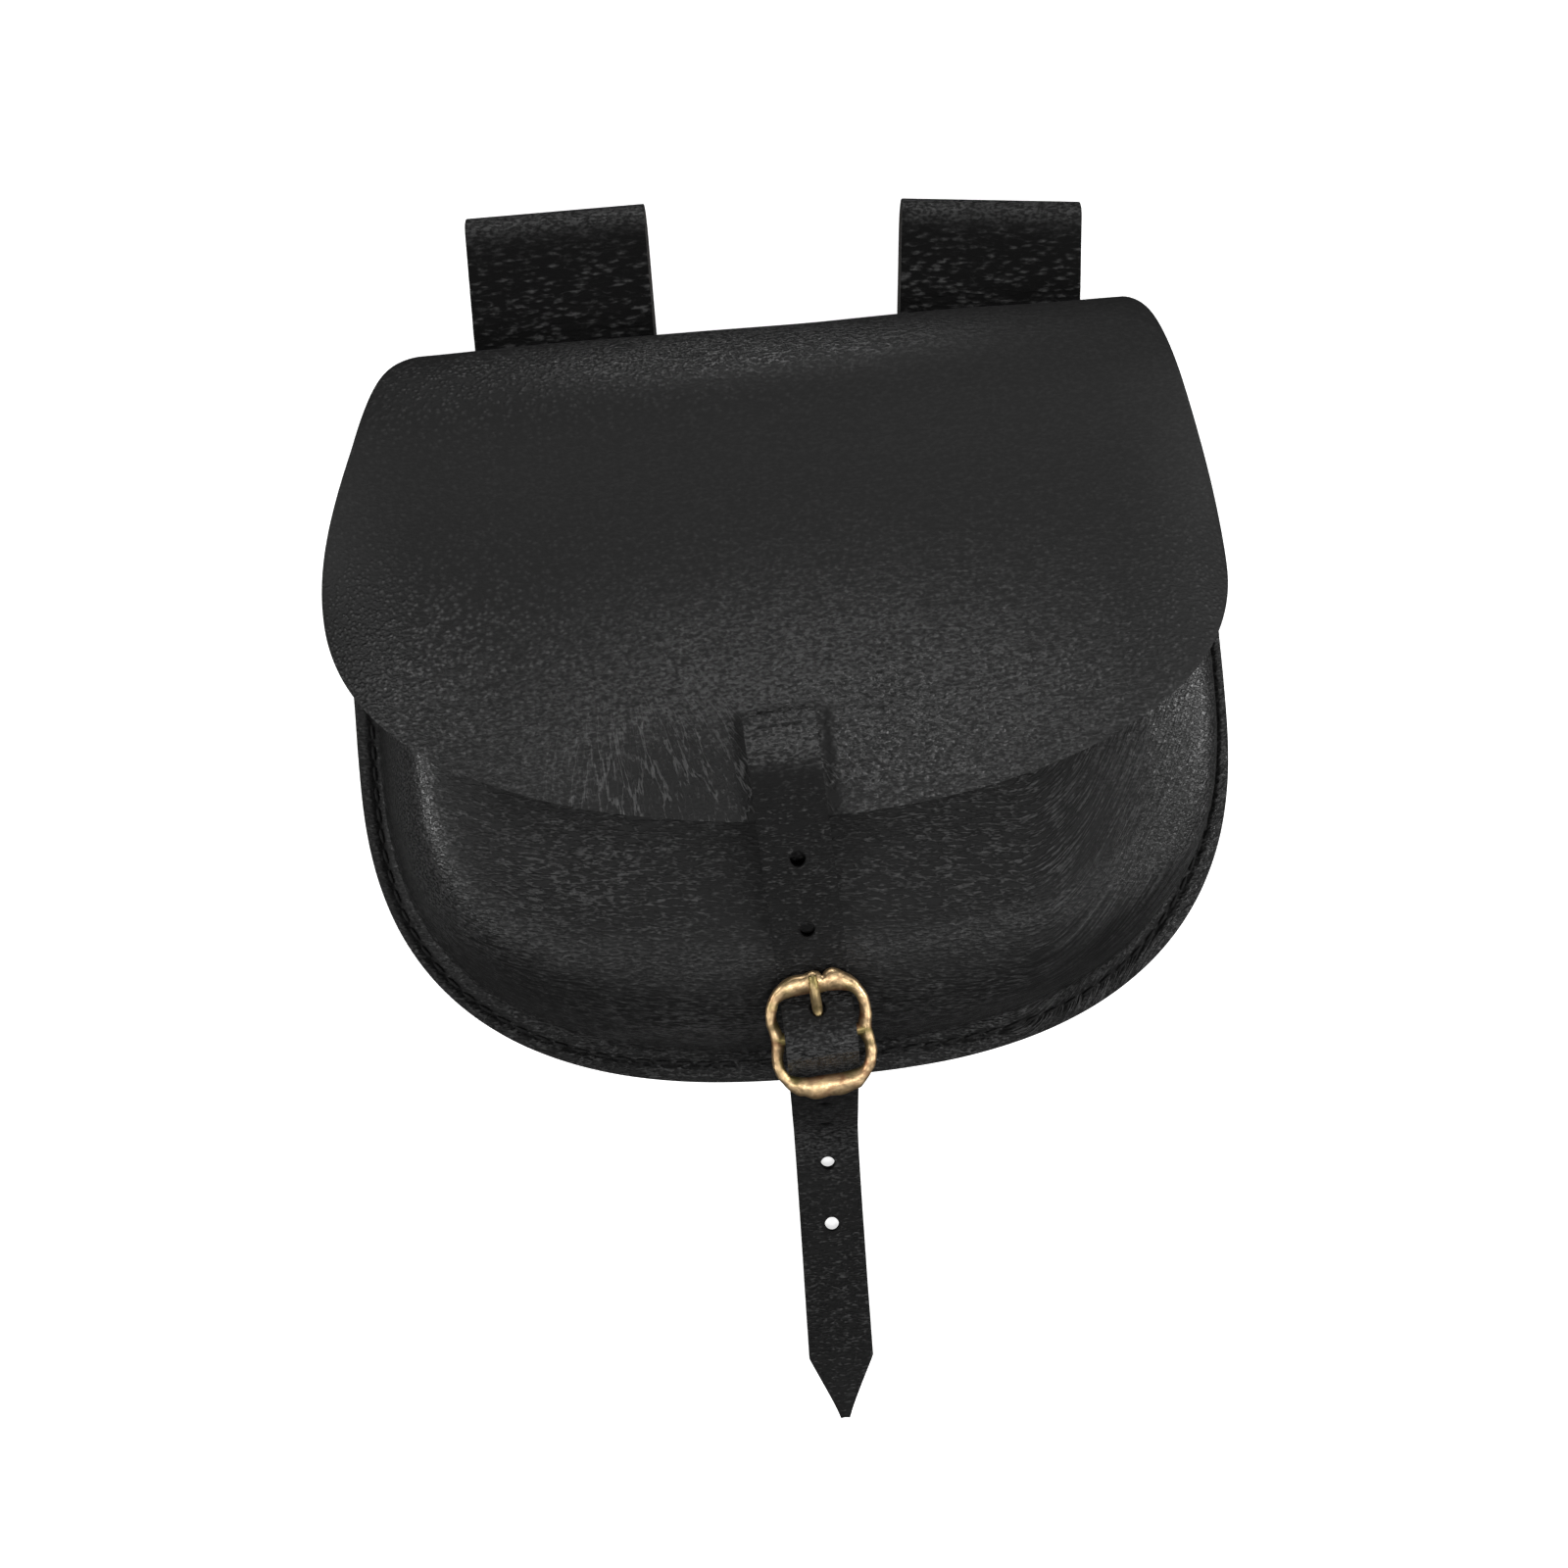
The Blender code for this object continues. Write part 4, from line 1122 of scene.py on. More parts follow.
    def lift(self, x: float, y: float, half_width: float) -> float:
        """How far the flap stands off: more along its free front edge, not under the strap.

        Args:
            x: The point's place across.
            y: The point's place along.
            half_width: Half the flap's width in this row.

        Returns:
            A height.
        """
        f = self.form
        past_widest = max(0.0, f.flap_widest_y - y) / f.flap_drop
        edge_y = f.flap_widest_y - f.flap_drop * max(0.0, 1.0 - (abs(x) / f.flap_half_width) ** 2) ** 0.5
        to_edge = max(0.0, y - edge_y)
        free = 1.0 - hill(x, *self.held_down)
        spot = Vector((x, y, 0.0))
        uneven = 0.65 + 0.35 * ripple(spot, self.edge_wave, 1.0)
        edge = self.edge_lift * math.exp(-to_edge / self.edge_reach) * ease(past_widest * 2.0) * free * uneven
        swell = self.swell * (0.5 + 0.5 * ripple(spot, self.swell_length, 4.0)) * free
        return edge + swell * min(1.0, half_width / self.narrow)

    def build(self) -> None:
        """Builds and dresses the piece."""
        f = self.form
        rows = self.rows()
        low = f.loop_stack + f.leather / 2.0

        def place(column: float, row: float) -> Vector:
            """A point of the middle of the leather.

            Args:
                column: Across, from 0 to 1.
                row: Along, from 0 to 1.

            Returns:
                The point.
            """
            y, half_width, shift, skew, angle = rows[round(row * (len(rows) - 1))]
            across = (2.0 * column - 1.0) * half_width
            x = across + shift
            if angle is None:
                return Vector((x, y, f.leather / 2.0 + f.rise_of_back(y)))
            if angle == math.pi:
                y -= skew * x
                return Vector((x, y, f.flap_middle(x, y) + self.lift(x, y, half_width)))
            x += self.corner_trim(across, half_width, angle)
            on_fold = Vector((x, angle * 20.0 * MM, 0.0))
            bulge = self.swell * 1.2 * ripple(on_fold, self.bulge_length, 7.0)
            radius = (f.flap_middle(x, f.fold_y) - low) / 2.0
            out = radius + bulge * math.cos(angle)
            y = f.fold_y + (f.fold_radius + bulge) * math.cos(angle)
            lifted = self.lift(x, f.fold_y, half_width) * ease(angle / (math.pi / 2.0))
            return Vector((x, y, low + radius + out * math.sin(angle) + lifted))

        shape = grid_surface(self.columns, len(rows) - 1, place, turned=True)
        length = lengths_along([place(0.5, row / (len(rows) - 1)) for row in range(len(rows))])[-1]
        zones = {
            Grain.PEBBLE: self.pebbled,
            Grain.LEVEL: lambda spot: 0.05 + patched(spot, self.level_creases),
            Grain.UPRIGHT: lambda spot: patched(spot, self.upright_creases),
            Grain.SHEEN_AND_PAINTED_LIGHT: self.sheen_and_painted_light,
        }
        piece = self.leather.cut("leather_back_and_flap", shape, zones, fan=self.stress_fan)
        hand_over(piece, Slot.BACK_AND_FLAP, "back_and_flap")

    def stress_fan(self, spot: Vector) -> Vector:
        """Coordinates of the stress lines, which spread downwards from a point on the flap.

        Args:
            spot: A point of the flap.

        Returns:
            The way across the lines and the way along them.
        """
        arm = spot - Vector((*self.fan_centre, spot.z))
        if arm.length < MM:
            return Vector((0.0, 0.0, 0.0))
        return Vector((math.atan2(arm.x, -arm.y) * self.fan_radius, arm.length, spot.z))

    def pebbled(self, spot: Vector) -> float:
        """Pebbles, with more of them towards the flap's free edge."""
        return 0.05 + 0.30 * ease((60.0 - spot.y / MM) / 45.0) + patched(spot, self.pebbles)

    def sheen_and_painted_light(self, spot: Vector) -> float:
        """Polish and painted light, with painted shadow in the gaps beside the strap."""
        # painted shadow along both edges of the strap
        painted_strap_shadow = hill(abs(spot.x / MM + 2.0), 9.0, 1.6) * ease((6.0 - spot.y / MM) / 4.0)
        return 0.04 + patched(spot, self.polish_and_painted_light) - 0.9 * painted_strap_shadow


@dataclass(frozen=True)
class SeamLine:
    """The stitched line round the front, a pressed groove near the inner end of the flange."""

    form: Form
    pitch: float = 5.0 * MM
    start_y: float = 55.0 * MM
    samples: int = 900
    # inset from the cut edge in millimetres, at even places from the left mouth to the right mouth
    insets: tuple[float, ...] = (3.4, 3.8, 2.6, 3.3, 4.8, 3.5, 4.2, 2.6, 4.2)

    def inset(self, place: float) -> float:
        """How far inside the cut edge it runs, at a place from 0 to 1."""
        return along([(inset * MM,) for inset in self.insets], place * (len(self.insets) - 1))[0]

    def point(self, place: float) -> Vector:
        """A point of the line, from 0 at the left mouth to 1 at the right mouth.

        Args:
            place: The place on the line.

        Returns:
            The point.
        """
        f = self.form
        inset = self.inset(place)
        x, y = f.ring_point(2.0 * place - 1.0, inset, inset, 1.0)
        return Vector((x, y, f.flange_top + f.rise_of_back(y)))

    def points(self) -> list[Vector]:
        """Points along the whole line."""
        return [self.point(i / self.samples) for i in range(self.samples + 1)]

    def stations(self) -> Stations:
        """Where the stitches lie.

        Returns:
            The middle of each stitch, and the way that it runs.
        """
        points = [p for p in self.points() if p.y < self.start_y]
        length = lengths_along(points)[-1]
        pitch = length / round(length / self.pitch)
        found = []
        passed, due = 0.0, pitch / 2.0
        for a, b in zip(points, points[1:]):
            step = (b - a).length
            if passed + step >= due:
                found.append((a.lerp(b, (due - passed) / step), (b - a).normalized()))
                due += pitch
            passed += step
        return found

    def length_to(self, around: float, table: Sequence[float]) -> float:
        """Length of the line from its left end to a place.

        Args:
            around: The place, from 0 to 1.
            table: The line's length at each sample.

        Returns:
            The length.
        """
        at = min(max(around, 0.0), 1.0) * (len(table) - 1)
        low = min(int(at), len(table) - 2)
        return table[low] + (table[low + 1] - table[low]) * (at - low)

    def lengths(self) -> list[float]:
        """The line's length at each sample, counted from the first stitch.

        Returns:
            The lengths.
        """
        points = self.points()
        table = lengths_along(points)
        first = next(length for point, length in zip(points, table) if point.y < self.start_y)
        return [length - first for length in table]


@dataclass(frozen=True)
class Front:
    """The moulded front with its seam flange, open at the mouth."""

    form: Form
    leather: Leather
    seam: SeamLine
    columns: int = 440
    merge: float = 0.02 * MM  # distance below which vertices are one
    groove_depth: float = 0.90 * MM
    groove_half_width: float = 0.75 * MM
    pucker: float = 0.22 * MM  # how much deeper the thread pulls the groove at its holes
    # rows of faces in each section of the wall, and on the crown
    section_rows: tuple[int, ...] = (14, 4, 4, 5, 5, 5, 6, 7)
    crown_rows: int = 28
    swells: Table = ((0.55 * MM, 34.0 * MM, 2.0), (0.18 * MM, 13.0 * MM, 9.0))  # rise, length, salt
    wall_reach: float = 40.0 * MM  # of the swells up the wall
    covered_y: float = -12.0 * MM  # from where on the flap covers the face, which is smooth there
    covered_run: float = 8.0 * MM
    wall_starts: float = 1.6  # in sections: the groove lies before it, the swells after it
    flange_wave: Pair = (0.12 * MM, 9.0 * MM)
    shoulder_reach: Pair = (87.0, 49.0)  # half its width and its drop, in millimetres
    # broad ridges and dents, their strength being a height in millimetres
    dents: Patches = (
        (0.7, 45.0, -38.0, 34.0, 5.0),
        (0.5, -25.0, -44.0, 24.0, 4.0),
        (-0.8, -18.0, -34.0, 22.0, 7.0),
        (-0.6, 38.0, -28.0, 24.0, 6.0),
    )
    # polish, which also lightens the colour: painted highlight along both shoulders and left of the middle
    wear_and_highlight: Patches = (
        (0.75, -86.0, -14.0, 9.0, 34.0),
        (0.75, 80.0, -12.0, 18.0, 34.0),
        (0.35, -54.0, -26.0, 22.0, 12.0),
    )
    creased: Patches = ((1.30, -52.0, -30.0, 26.0, 14.0), (0.95, 50.0, -30.0, 42.0, 20.0))
    foot_creases: Patches = ((0.25, -20.0, -66.0, 40.0, 8.0),)

    def row_places(self) -> list[float]:
        """Where the rows lie, counted in sections up to the crown and then on to its middle.

        Returns:
            The places.
        """
        places = [0.0]
        for section, count in enumerate(self.section_rows):
            places += [section + (i + 1) / count for i in range(count)]
        last = len(self.section_rows)
        return places + [last + (i + 1) / self.crown_rows for i in range(self.crown_rows)]

    def relief(self, x: float, y: float, height: float) -> float:
        """Unevenness of the moulded face.

        Args:
            x: The point's X.
            y: The point's Y.
            height: The share of the wall's height that it has reached.

        Returns:
            A move out of the face.
        """
        spot = Vector((x, y, height * self.wall_reach))
        broad = sum(rise * ripple(spot, length, salt) for rise, length, salt in self.swells)
        under_flap = ease((y - self.covered_y) / self.covered_run)
        return (broad + MM * patched(spot, self.dents)) * ease(height * 4.0) * (1.0 - under_flap)

    def build(self) -> None:
        """Builds and dresses the piece."""
        f = self.form
        places = self.row_places()
        last = len(self.section_rows)
        table = self.seam.lengths()

        def place(column: float, row: float) -> Vector:
            """A point of the outer face.

            Args:
                column: Across, from 0 to 1.
                row: Along, from 0 to 1.

            Returns:
                The point.
            """
            around = 2.0 * round(column * self.columns) / self.columns - 1.0
            at = places[round(row * (len(places) - 1))]
            side, bottom, height = along(f.sections, min(at, float(last)))
            height = min(max(height, 0.0), 1.0)
            full = 1.0 - max(0.0, at - last)
            x, y = f.ring_point(around, side * f.side_run, bottom * f.bottom_run, full)
            spot = Vector((x + f.lean * height, y, f.wall_height(height, x, y)))
            if at < self.wall_starts:
                line = self.seam.point((around + 1.0) / 2.0)
                off_line = math.hypot(x - line.x, y - line.y)
                length = self.seam.length_to((around + 1.0) / 2.0, table)
                hole = 0.5 + 0.5 * math.cos(2.0 * math.pi * length / self.seam.pitch)
                depth = self.groove_depth + self.pucker * hole**3
                spot.z -= depth * hill(off_line, 0.0, self.groove_half_width)
                wave, wave_length = self.flange_wave
                spot.z += wave * ripple(spot, wave_length, 5.0) * ease(1.0 - at)
                return spot
            outwards = Vector((x, y * 1.2, 0.0)).normalized() * (1.0 - height)
            outwards += Vector((0.0, 0.0, height + 0.2))
            return spot + outwards.normalized() * self.relief(x, y, height)

        shape = grid_surface(self.columns, len(places) - 1, place)
        bmesh.ops.remove_doubles(shape, verts=shape.verts, dist=self.merge)
        seam_points = self.seam.points()
        zones = {
            Grain.PEBBLE: self.pebbles,
            Grain.LEVEL: self.level_creases,
            Grain.UPRIGHT: lambda spot: patched(spot, self.foot_creases),
            Grain.SHEEN_AND_PAINTED_LIGHT: lambda spot: self.polish_and_painted_light(seam_points, spot),
        }
        piece = self.leather.cut("leather_front", shape, zones, flow=self.crease_run, offset=-1.0)
        hand_over(piece, Slot.FRONT, "front")

    def crease_run(self, spot: Vector) -> Vector:
        """Coordinates of the creases: level on the left, round the shoulder on the right.

        Args:
            spot: A point of the front.

        Returns:
            The way along the creases and the way across them.
        """
        turn = -0.10 + 0.75 * ease((spot.x / MM - 45.0) / 45.0)
        c, s = math.cos(turn), math.sin(turn)
        return Vector((c * spot.x + s * spot.y, -s * spot.x + c * spot.y + 0.6 * spot.z, 0.0))

    def shoulder(self, spot: Vector) -> float:
        """How near a point is to the rounded shoulder that runs round the moulded face.

        Args:
            spot: The point.

        Returns:
            The nearness, from 0 to 1.
        """
        bend = self.form.fullness
        across = abs(spot.x / MM) / self.shoulder_reach[0]
        down = max(0.0, -spot.y / MM) / self.shoulder_reach[1]
        return hill((across**bend + down**bend) ** (1.0 / bend), 1.0, 0.10)

    def sheen_and_painted_light(self, spot: Vector) -> float:
        """Polish and painted highlight: on the shoulder, most of all at its two sides."""
        return 0.12 + 0.50 * self.shoulder(spot) + patched(spot, self.wear_and_highlight)

    def polish_and_painted_light(self, points: Path, spot: Vector) -> float:
        """The sheen and painted light, with painted shade in the thread's groove and a lighter flange.

        Args:
            points: Points along the seam.
            spot: A point of the front.

        Returns:
            The sheen there.
        """
        if spot.z > self.form.flange_top + 1.5 * MM:
            return self.sheen_and_painted_light(spot)
        gap = min((spot - point).length for point in points)
        lighter_flange = 0.25 + 0.35 * ease((spot.x / MM - 10.0) / 40.0)
        # the flange lighter and glossier towards the right, and painted shade in the thread's groove
        return self.sheen_and_painted_light(spot) + lighter_flange - 1.6 * hill(gap / MM, 0.0, 0.9)

    def pebbles(self, spot: Vector) -> float:
        """Pebbles: on the flange and low on the wall."""
        low = 1.0 - ease((spot.z / MM - 5.0) / 12.0)
        return 0.10 + 0.40 * low + 0.20 * patch(spot, 70.0, -10.0, 24.0, 24.0)

    def level_creases(self, spot: Vector) -> float:
        """Creases across: strong left of the middle and near the seam, faint on the left shoulder."""
        smooth = 0.8 * patch(spot, -86.0, -8.0, 10.0, 26.0) + 0.6 * self.shoulder(spot)
        near_seam = 0.70 * ease((-52.0 - spot.y / MM) / 18.0)
        return max(0.0, 1.0 - smooth) * (0.45 + patched(spot, self.creased) + near_seam)


@dataclass(frozen=True)
class Stitching:
    """Stitches, each a short stretch of thread that dips into its holes."""

    name: str
    radius: float = 0.42 * MM
    length: float = 3.7 * MM
    dip: float = 0.35 * MM  # how far its ends go down
    bluntness: float = 0.8
    flatness: float = 0.8
    slant: float = 0.07
    slant_range: float = 0.04
    segments: int = 8
    rings: int = 7

    def build(self, stations: Stations, slot: Slot, lift: float) -> None:
        """Builds all the stitches of a line as one mesh.

        Args:
            stations: The middle of each stitch on the leather, and the way that it runs.
            slot: Where the finish comes from.
            lift: Height of a stitch's middle over the leather.
        """
        shape = bmesh.new()
        for index, (middle, run) in enumerate(stations):
            made = bmesh.ops.create_uvsphere(
                shape, u_segments=self.segments, v_segments=self.rings, radius=1.0
            )
            verts = made["verts"]
            half = self.length / 2.0
            for vertex in verts:
                x, y, z = vertex.co
                flat = power_of(z, self.bluntness)
                dip = self.dip * flat**4
                vertex.co = Vector((x * self.radius, flat * half, y * self.radius * self.flatness - dip))
            slant = self.slant + self.slant_range * ripple(middle, 7.0 * MM, float(index))
            heading = math.atan2(-run.x, run.y) + slant
            climb = math.asin(max(-1.0, min(1.0, run.z)))
            turn = Matrix.Rotation(heading, 4, "Z") @ Matrix.Rotation(climb, 4, "X")
            spot = Matrix.Translation(middle + Vector((0.0, 0.0, lift)))
            bmesh.ops.transform(shape, matrix=spot @ turn, verts=verts)
        piece = add_piece(self.name, shape, [Thread(self.name + "_thread").make()])
        hand_over(piece, slot)


@dataclass(frozen=True)
class Strip:
    """A strip of leather along a path, level across its width."""

    width: float
    columns: int
    crown: float = 0.0  # how far its edges lie below its middle

    def surface(
        self,
        path: Path,
        lean: Callable[[int], float] | None = None,
        narrowing: Callable[[int], float] | None = None,
        relief: Callable[[Vector, float], float] | None = None,
    ) -> Shape:
        """The strip's middle surface.

        Args:
            path: Its middle line.
            lean: How far it turns about Z at each point.
            narrowing: Its width at each point.
            relief: A move out of the surface, for a point and the share across.

        Returns:
            The surface, with its outer side out.
        """
        count = len(path) - 1
        outs = []
        for step in range(count + 1):
            run = (path[min(step + 1, count)] - path[max(step - 1, 0)]).normalized()
            outs.append(run.cross(Vector((1.0, 0.0, 0.0))).normalized())

        def place(column: float, row: float) -> Vector:
            """A point of the strip.

            Args:
                column: Across, from 0 to 1.
                row: Along, from 0 to 1.

            Returns:
                The point.
            """
            step = round(row * count)
            turn = lean(step) if lean else 0.0
            half = (narrowing(step) if narrowing else self.width) / 2.0
            across = 2.0 * column - 1.0
            spot = path[step] + Vector((math.cos(turn), math.sin(turn), 0.0)) * half * across
            out = -self.crown * across * across
            if relief:
                out += relief(spot, column)
            return spot + outs[step] * out

        return grid_surface(self.columns, count, place, turned=True)


@dataclass(frozen=True)
class BeltLoop:
    """A belt loop: a strip folded over the belt, both ends sewn under the back."""

    form: Form
    leather: Leather
    side: str
    middle_x: float
    top_y: float
    turn: float
    width: float = 42.7 * MM
    sewn_y: float = 42.0 * MM
    opens_y: float = 74.0 * MM
    rise: float = 20.0 * MM
    bend: float = 22.0 * MM
    belt_gap: float = 7.0 * MM
    wrinkle: float = 0.42 * MM  # height of a wrinkle
    wrinkle_length: float = 16.0 * MM
    wrinkle_pitch: float = 2.3 * MM
    wrinkle_run: float = 22.0  # millimetres over which the wrinkles grow
    smooth_top: float = 6.0  # millimetres below the top that have none
    rear_top: float = 6.0 * MM  # the rear layer, below this height, has none either
    sway: float = 1.6 * MM
    sway_length: float = 11.0 * MM
    edge_share: float = 0.05  # of the width, where they fade
    row_turn: float = math.radians(5.0)
    row_length: float = 0.75 * MM
    # each pattern's strength at the top, its change, and where that starts and its run in millimetres
    pebbles: Four = (0.20, 0.85, 5.0, 12.0)
    creases: Four = (0.15, 0.40, 5.0, 18.0)
    # the polish also lightens the colour near the top: painted highlight on the rounded top
    polish_and_painted_light: Four = (0.0, 0.75, 10.8, -9.0)
    columns: int = 56
    stitch_inset: float = 3.5 * MM
    stitch_pitch: float = 5.0 * MM

    @property
    def pivot_y(self) -> float:
        """Where the crown of the fold is, about which the loop turns."""
        return self.form.fold_y + self.form.fold_radius

    def place_matrix(self) -> Matrix:
        """Where the loop is."""
        return Matrix.Translation((self.middle_x, self.pivot_y, 0.0)) @ Matrix.Rotation(self.turn, 4, "Z")

    def from_top(self, spot: Vector) -> float:
        """Distance in millimetres of a point below the loop's top, before the loop is turned."""
        return (self.top_y - self.pivot_y - spot.y) / MM

    def path(self) -> list[Vector]:
        """The loop's middle line, with its place still at x = 0 and y counted from the fold's crown.

        Returns:
            Its points.
        """
        f = self.form
        rear = f.leather / 2.0
        sewn = rear + f.leather + f.seam_gap
        radius = (self.belt_gap + f.leather) / 2.0
        high = rear + 2.0 * radius
        end = self.top_y - f.leather / 2.0
        corners = (
            (0.0, self.sewn_y, rear, 0.0),
            (0.0, end, rear, radius),
            (0.0, end, high, radius),
            (0.0, self.opens_y + self.rise, high, self.bend),
            (0.0, self.opens_y, sewn, self.bend),
            (0.0, self.sewn_y, sewn, 0.0),
        )
        pivot = Vector((0.0, self.pivot_y, 0.0))
        return [point - pivot for point in bent_line(corners, self.row_turn, self.row_length)]

    def relief(self, spot: Vector, column: float) -> float:
        """Wrinkles across the front layer, strongest at its base, and a soft sag between its edges.

        Args:
            spot: A point before the loop is turned.
            column: The share across.

        Returns:
            A move out of the leather.
        """
        from_top = self.from_top(spot)
        if spot.z < self.rear_top or from_top < self.smooth_top:
            return 0.0
        strength = ease((from_top - self.smooth_top) / self.wrinkle_run)
        sway = self.sway * ripple(spot, self.sway_length, 3.0 + self.middle_x)
        across, along_y = spot.x / self.wrinkle_length, (spot.y + sway) / self.wrinkle_pitch
        crease = 1.0 - 2.0 * abs(noise.noise(Vector((across, along_y, self.middle_x * 90.0))))
        edge = ease(min(column, 1.0 - column) / self.edge_share)
        return strength * self.wrinkle * (crease - 0.5) * (0.55 + 0.45 * edge)

    def build(self) -> None:
        """Builds and dresses the loop."""
        path = self.path()
        shape = Strip(self.width, self.columns).surface(path, relief=self.relief)

        def falling(start: float, change: float, place: float, run: float) -> Zone:
            """A strength that changes down the loop."""
            return lambda spot: start + change * ease((self.from_top(spot) - place) / run)

        zones = {
            Grain.PEBBLE: falling(*self.pebbles),
            Grain.LEVEL: falling(*self.creases),
            Grain.SHEEN_AND_PAINTED_LIGHT: falling(*self.polish_and_painted_light),
        }
        piece = self.leather.cut(f"leather_belt_loop_{self.side}", shape, zones, place=self.place_matrix())
        hand_over(piece, Slot.LOOPS, f"belt_loop_{self.side}")
        flat = (self.width, lengths_along(path)[-1])

    def stitch_stations(self) -> Stations:
        """A rectangle of stitches on the rear face of the sewn stretch.

        Returns:
            The middle of each stitch, and the way that it runs.
        """
        half = self.width / 2.0 - self.stitch_inset
        low = self.sewn_y + self.stitch_inset - self.pivot_y
        high = self.opens_y - self.stitch_inset - self.pivot_y
        corners = [(-half, low), (half, low), (half, high), (-half, high)]
        turned = self.place_matrix()
        found = []
        for start, end in zip(corners, corners[1:] + corners[:1]):
            a = turned @ Vector((*start, 0.0))
            b = turned @ Vector((*end, 0.0))
            count = round((b - a).length / self.stitch_pitch)
            run = (b - a).normalized()
            found += [(a.lerp(b, (i + 0.5) / count), run) for i in range(count)]
        return found


@dataclass(frozen=True)
class Buckle:
    """The cast buckle: a two-lobed frame with a middle bar, and its prong."""

    form: Form
    brass: Material
    from_edge: float = 17.0 * MM
    tilt: float = math.radians(14.0)
    lean: float = math.radians(3.5)
    x: float = 0.4 * MM
    half_width: float = 10.4 * MM
    half_length: float = 11.7 * MM
    squareness: float = 3.4
    waist_depth: float = 1.0 * MM
    waist_length: float = 3.2 * MM
    side_width: float = 2.3 * MM
    end_width: float = 3.7 * MM
    end_boss: float = 0.7 * MM
    waist_boss: float = 0.5 * MM
    thickness: float = 2.6 * MM
    bar_radius: float = 1.4 * MM
    prong_radius: float = 0.9 * MM
    prong_overhang: float = 2.6 * MM
    prong_dip: float = 0.5 * MM
    prong_bend: float = 1.2 * MM
    prong_open: float = math.radians(6.0)
    prong_lean: float = -0.1 * MM  # how far its tip lies to the left of the middle
    strap_room: float = 1.1 * MM
    strap_leather: float = 2.0 * MM
    steps: int = 220
    sides: int = 28
    lump: float = 0.16 * MM
    lump_length: float = 2.4 * MM
    pit_length: float = 1.1 * MM
    corner_fill: float = 0.16  # how far the casting's round section is filled towards a square
    inner_thinning: float = 0.30
    tarnish: Triple = (0.75, 0.35, 0.55)  # inside, underneath, and on the prong
    prong_lump: float = 0.07 * MM
    prong_lump_length: float = 1.6 * MM
    prong_share: float = 1.14  # of its radius in the shaft, which swells in the middle and thins at the tip
    prong_swell: float = 0.10
    prong_thinning: float = 0.18
    prong_steps: tuple[int, int] = (40, 26)  # round its loop and along its shaft
    # relief on the outer side of each end: x, half-width and height in mm
    far_relief: Table = (
        (4.3, 1.9, 0.85),
        (-0.1, 1.2, 0.60),
        (2.0, 0.45, -0.95),
        (9.0, 1.1, 0.25),
        (-4.2, 1.5, 0.2),
    )
    near_relief: Table = (
        (-2.4, 2.4, 0.75),
        (2.6, 2.2, 0.65),
        (0.5, 0.5, -0.25),
        (-6.2, 0.7, 0.4),
        (6.0, 0.7, 0.35),
    )

    @property
    def y(self) -> float:
        """Where the middle bar lies along the pouch."""
        return -self.form.drop + self.from_edge

    @property
    def strap_under(self) -> float:
        """Distance of the strap's middle line from the middle of the frame's far end."""
        return self.thickness / 2.0 + self.strap_room + self.strap_leather / 2.0

    @property
    def strap_over(self) -> float:
        """Distance of the strap's middle line from the middle bar, over the prong's loop."""
        return self.bar_radius + 2.0 * (self.prong_radius + self.form.seam_gap) + self.strap_leather / 2.0

    def place_matrix(self) -> Matrix:
        """Where the buckle is: x across it, y towards the flap, z out, from its middle bar.

        Returns:
            Its place.
        """
        far_y = self.y + self.half_length * math.cos(self.tilt)
        under = 2.0 * self.form.seam_gap + self.strap_leather / 2.0 + self.strap_under
        bar_z = self.form.front_height(far_y) + under - self.half_length * math.sin(self.tilt)
        turn = Matrix.Rotation(self.lean, 4, "Z") @ Matrix.Rotation(self.tilt, 4, "X")
        return Matrix.Translation((self.x, self.y, bar_z)) @ turn

    def outline(self, angle: float) -> tuple[Vector, float]:
        """Middle of the casting at an angle, and the casting's width there.

        Args:
            angle: The angle.

        Returns:
            A point of the frame's plane, and the width.
        """
        power = 2.0 / self.squareness
        x = power_of(math.cos(angle), power) * self.half_width
        y = power_of(math.sin(angle), power) * self.half_length
        at_waist = hill(y, 0.0, self.waist_length)
        x *= 1.0 - at_waist * self.waist_depth / self.half_width
        at_end = ease((abs(y) / self.half_length - 0.75) / 0.25)
        at_middle = hill(x, 0.0, self.half_width / 2.0)
        width = self.side_width + (self.end_width - self.side_width) * at_end
        width += self.end_boss * at_end * at_middle + self.waist_boss * at_waist
        return Vector((x, y, 0.0)), width

    def outer_relief(self, x: float, y: float) -> float:
        """Bosses, notch and cusps on the outer side of the two ends."""
        rows = self.far_relief if y > 0.0 else self.near_relief
        at_end = ease((abs(y) / self.half_length - 0.7) / 0.3)
        return at_end * MM * sum(height * hill(x / MM, middle, half) for middle, half, height in rows)

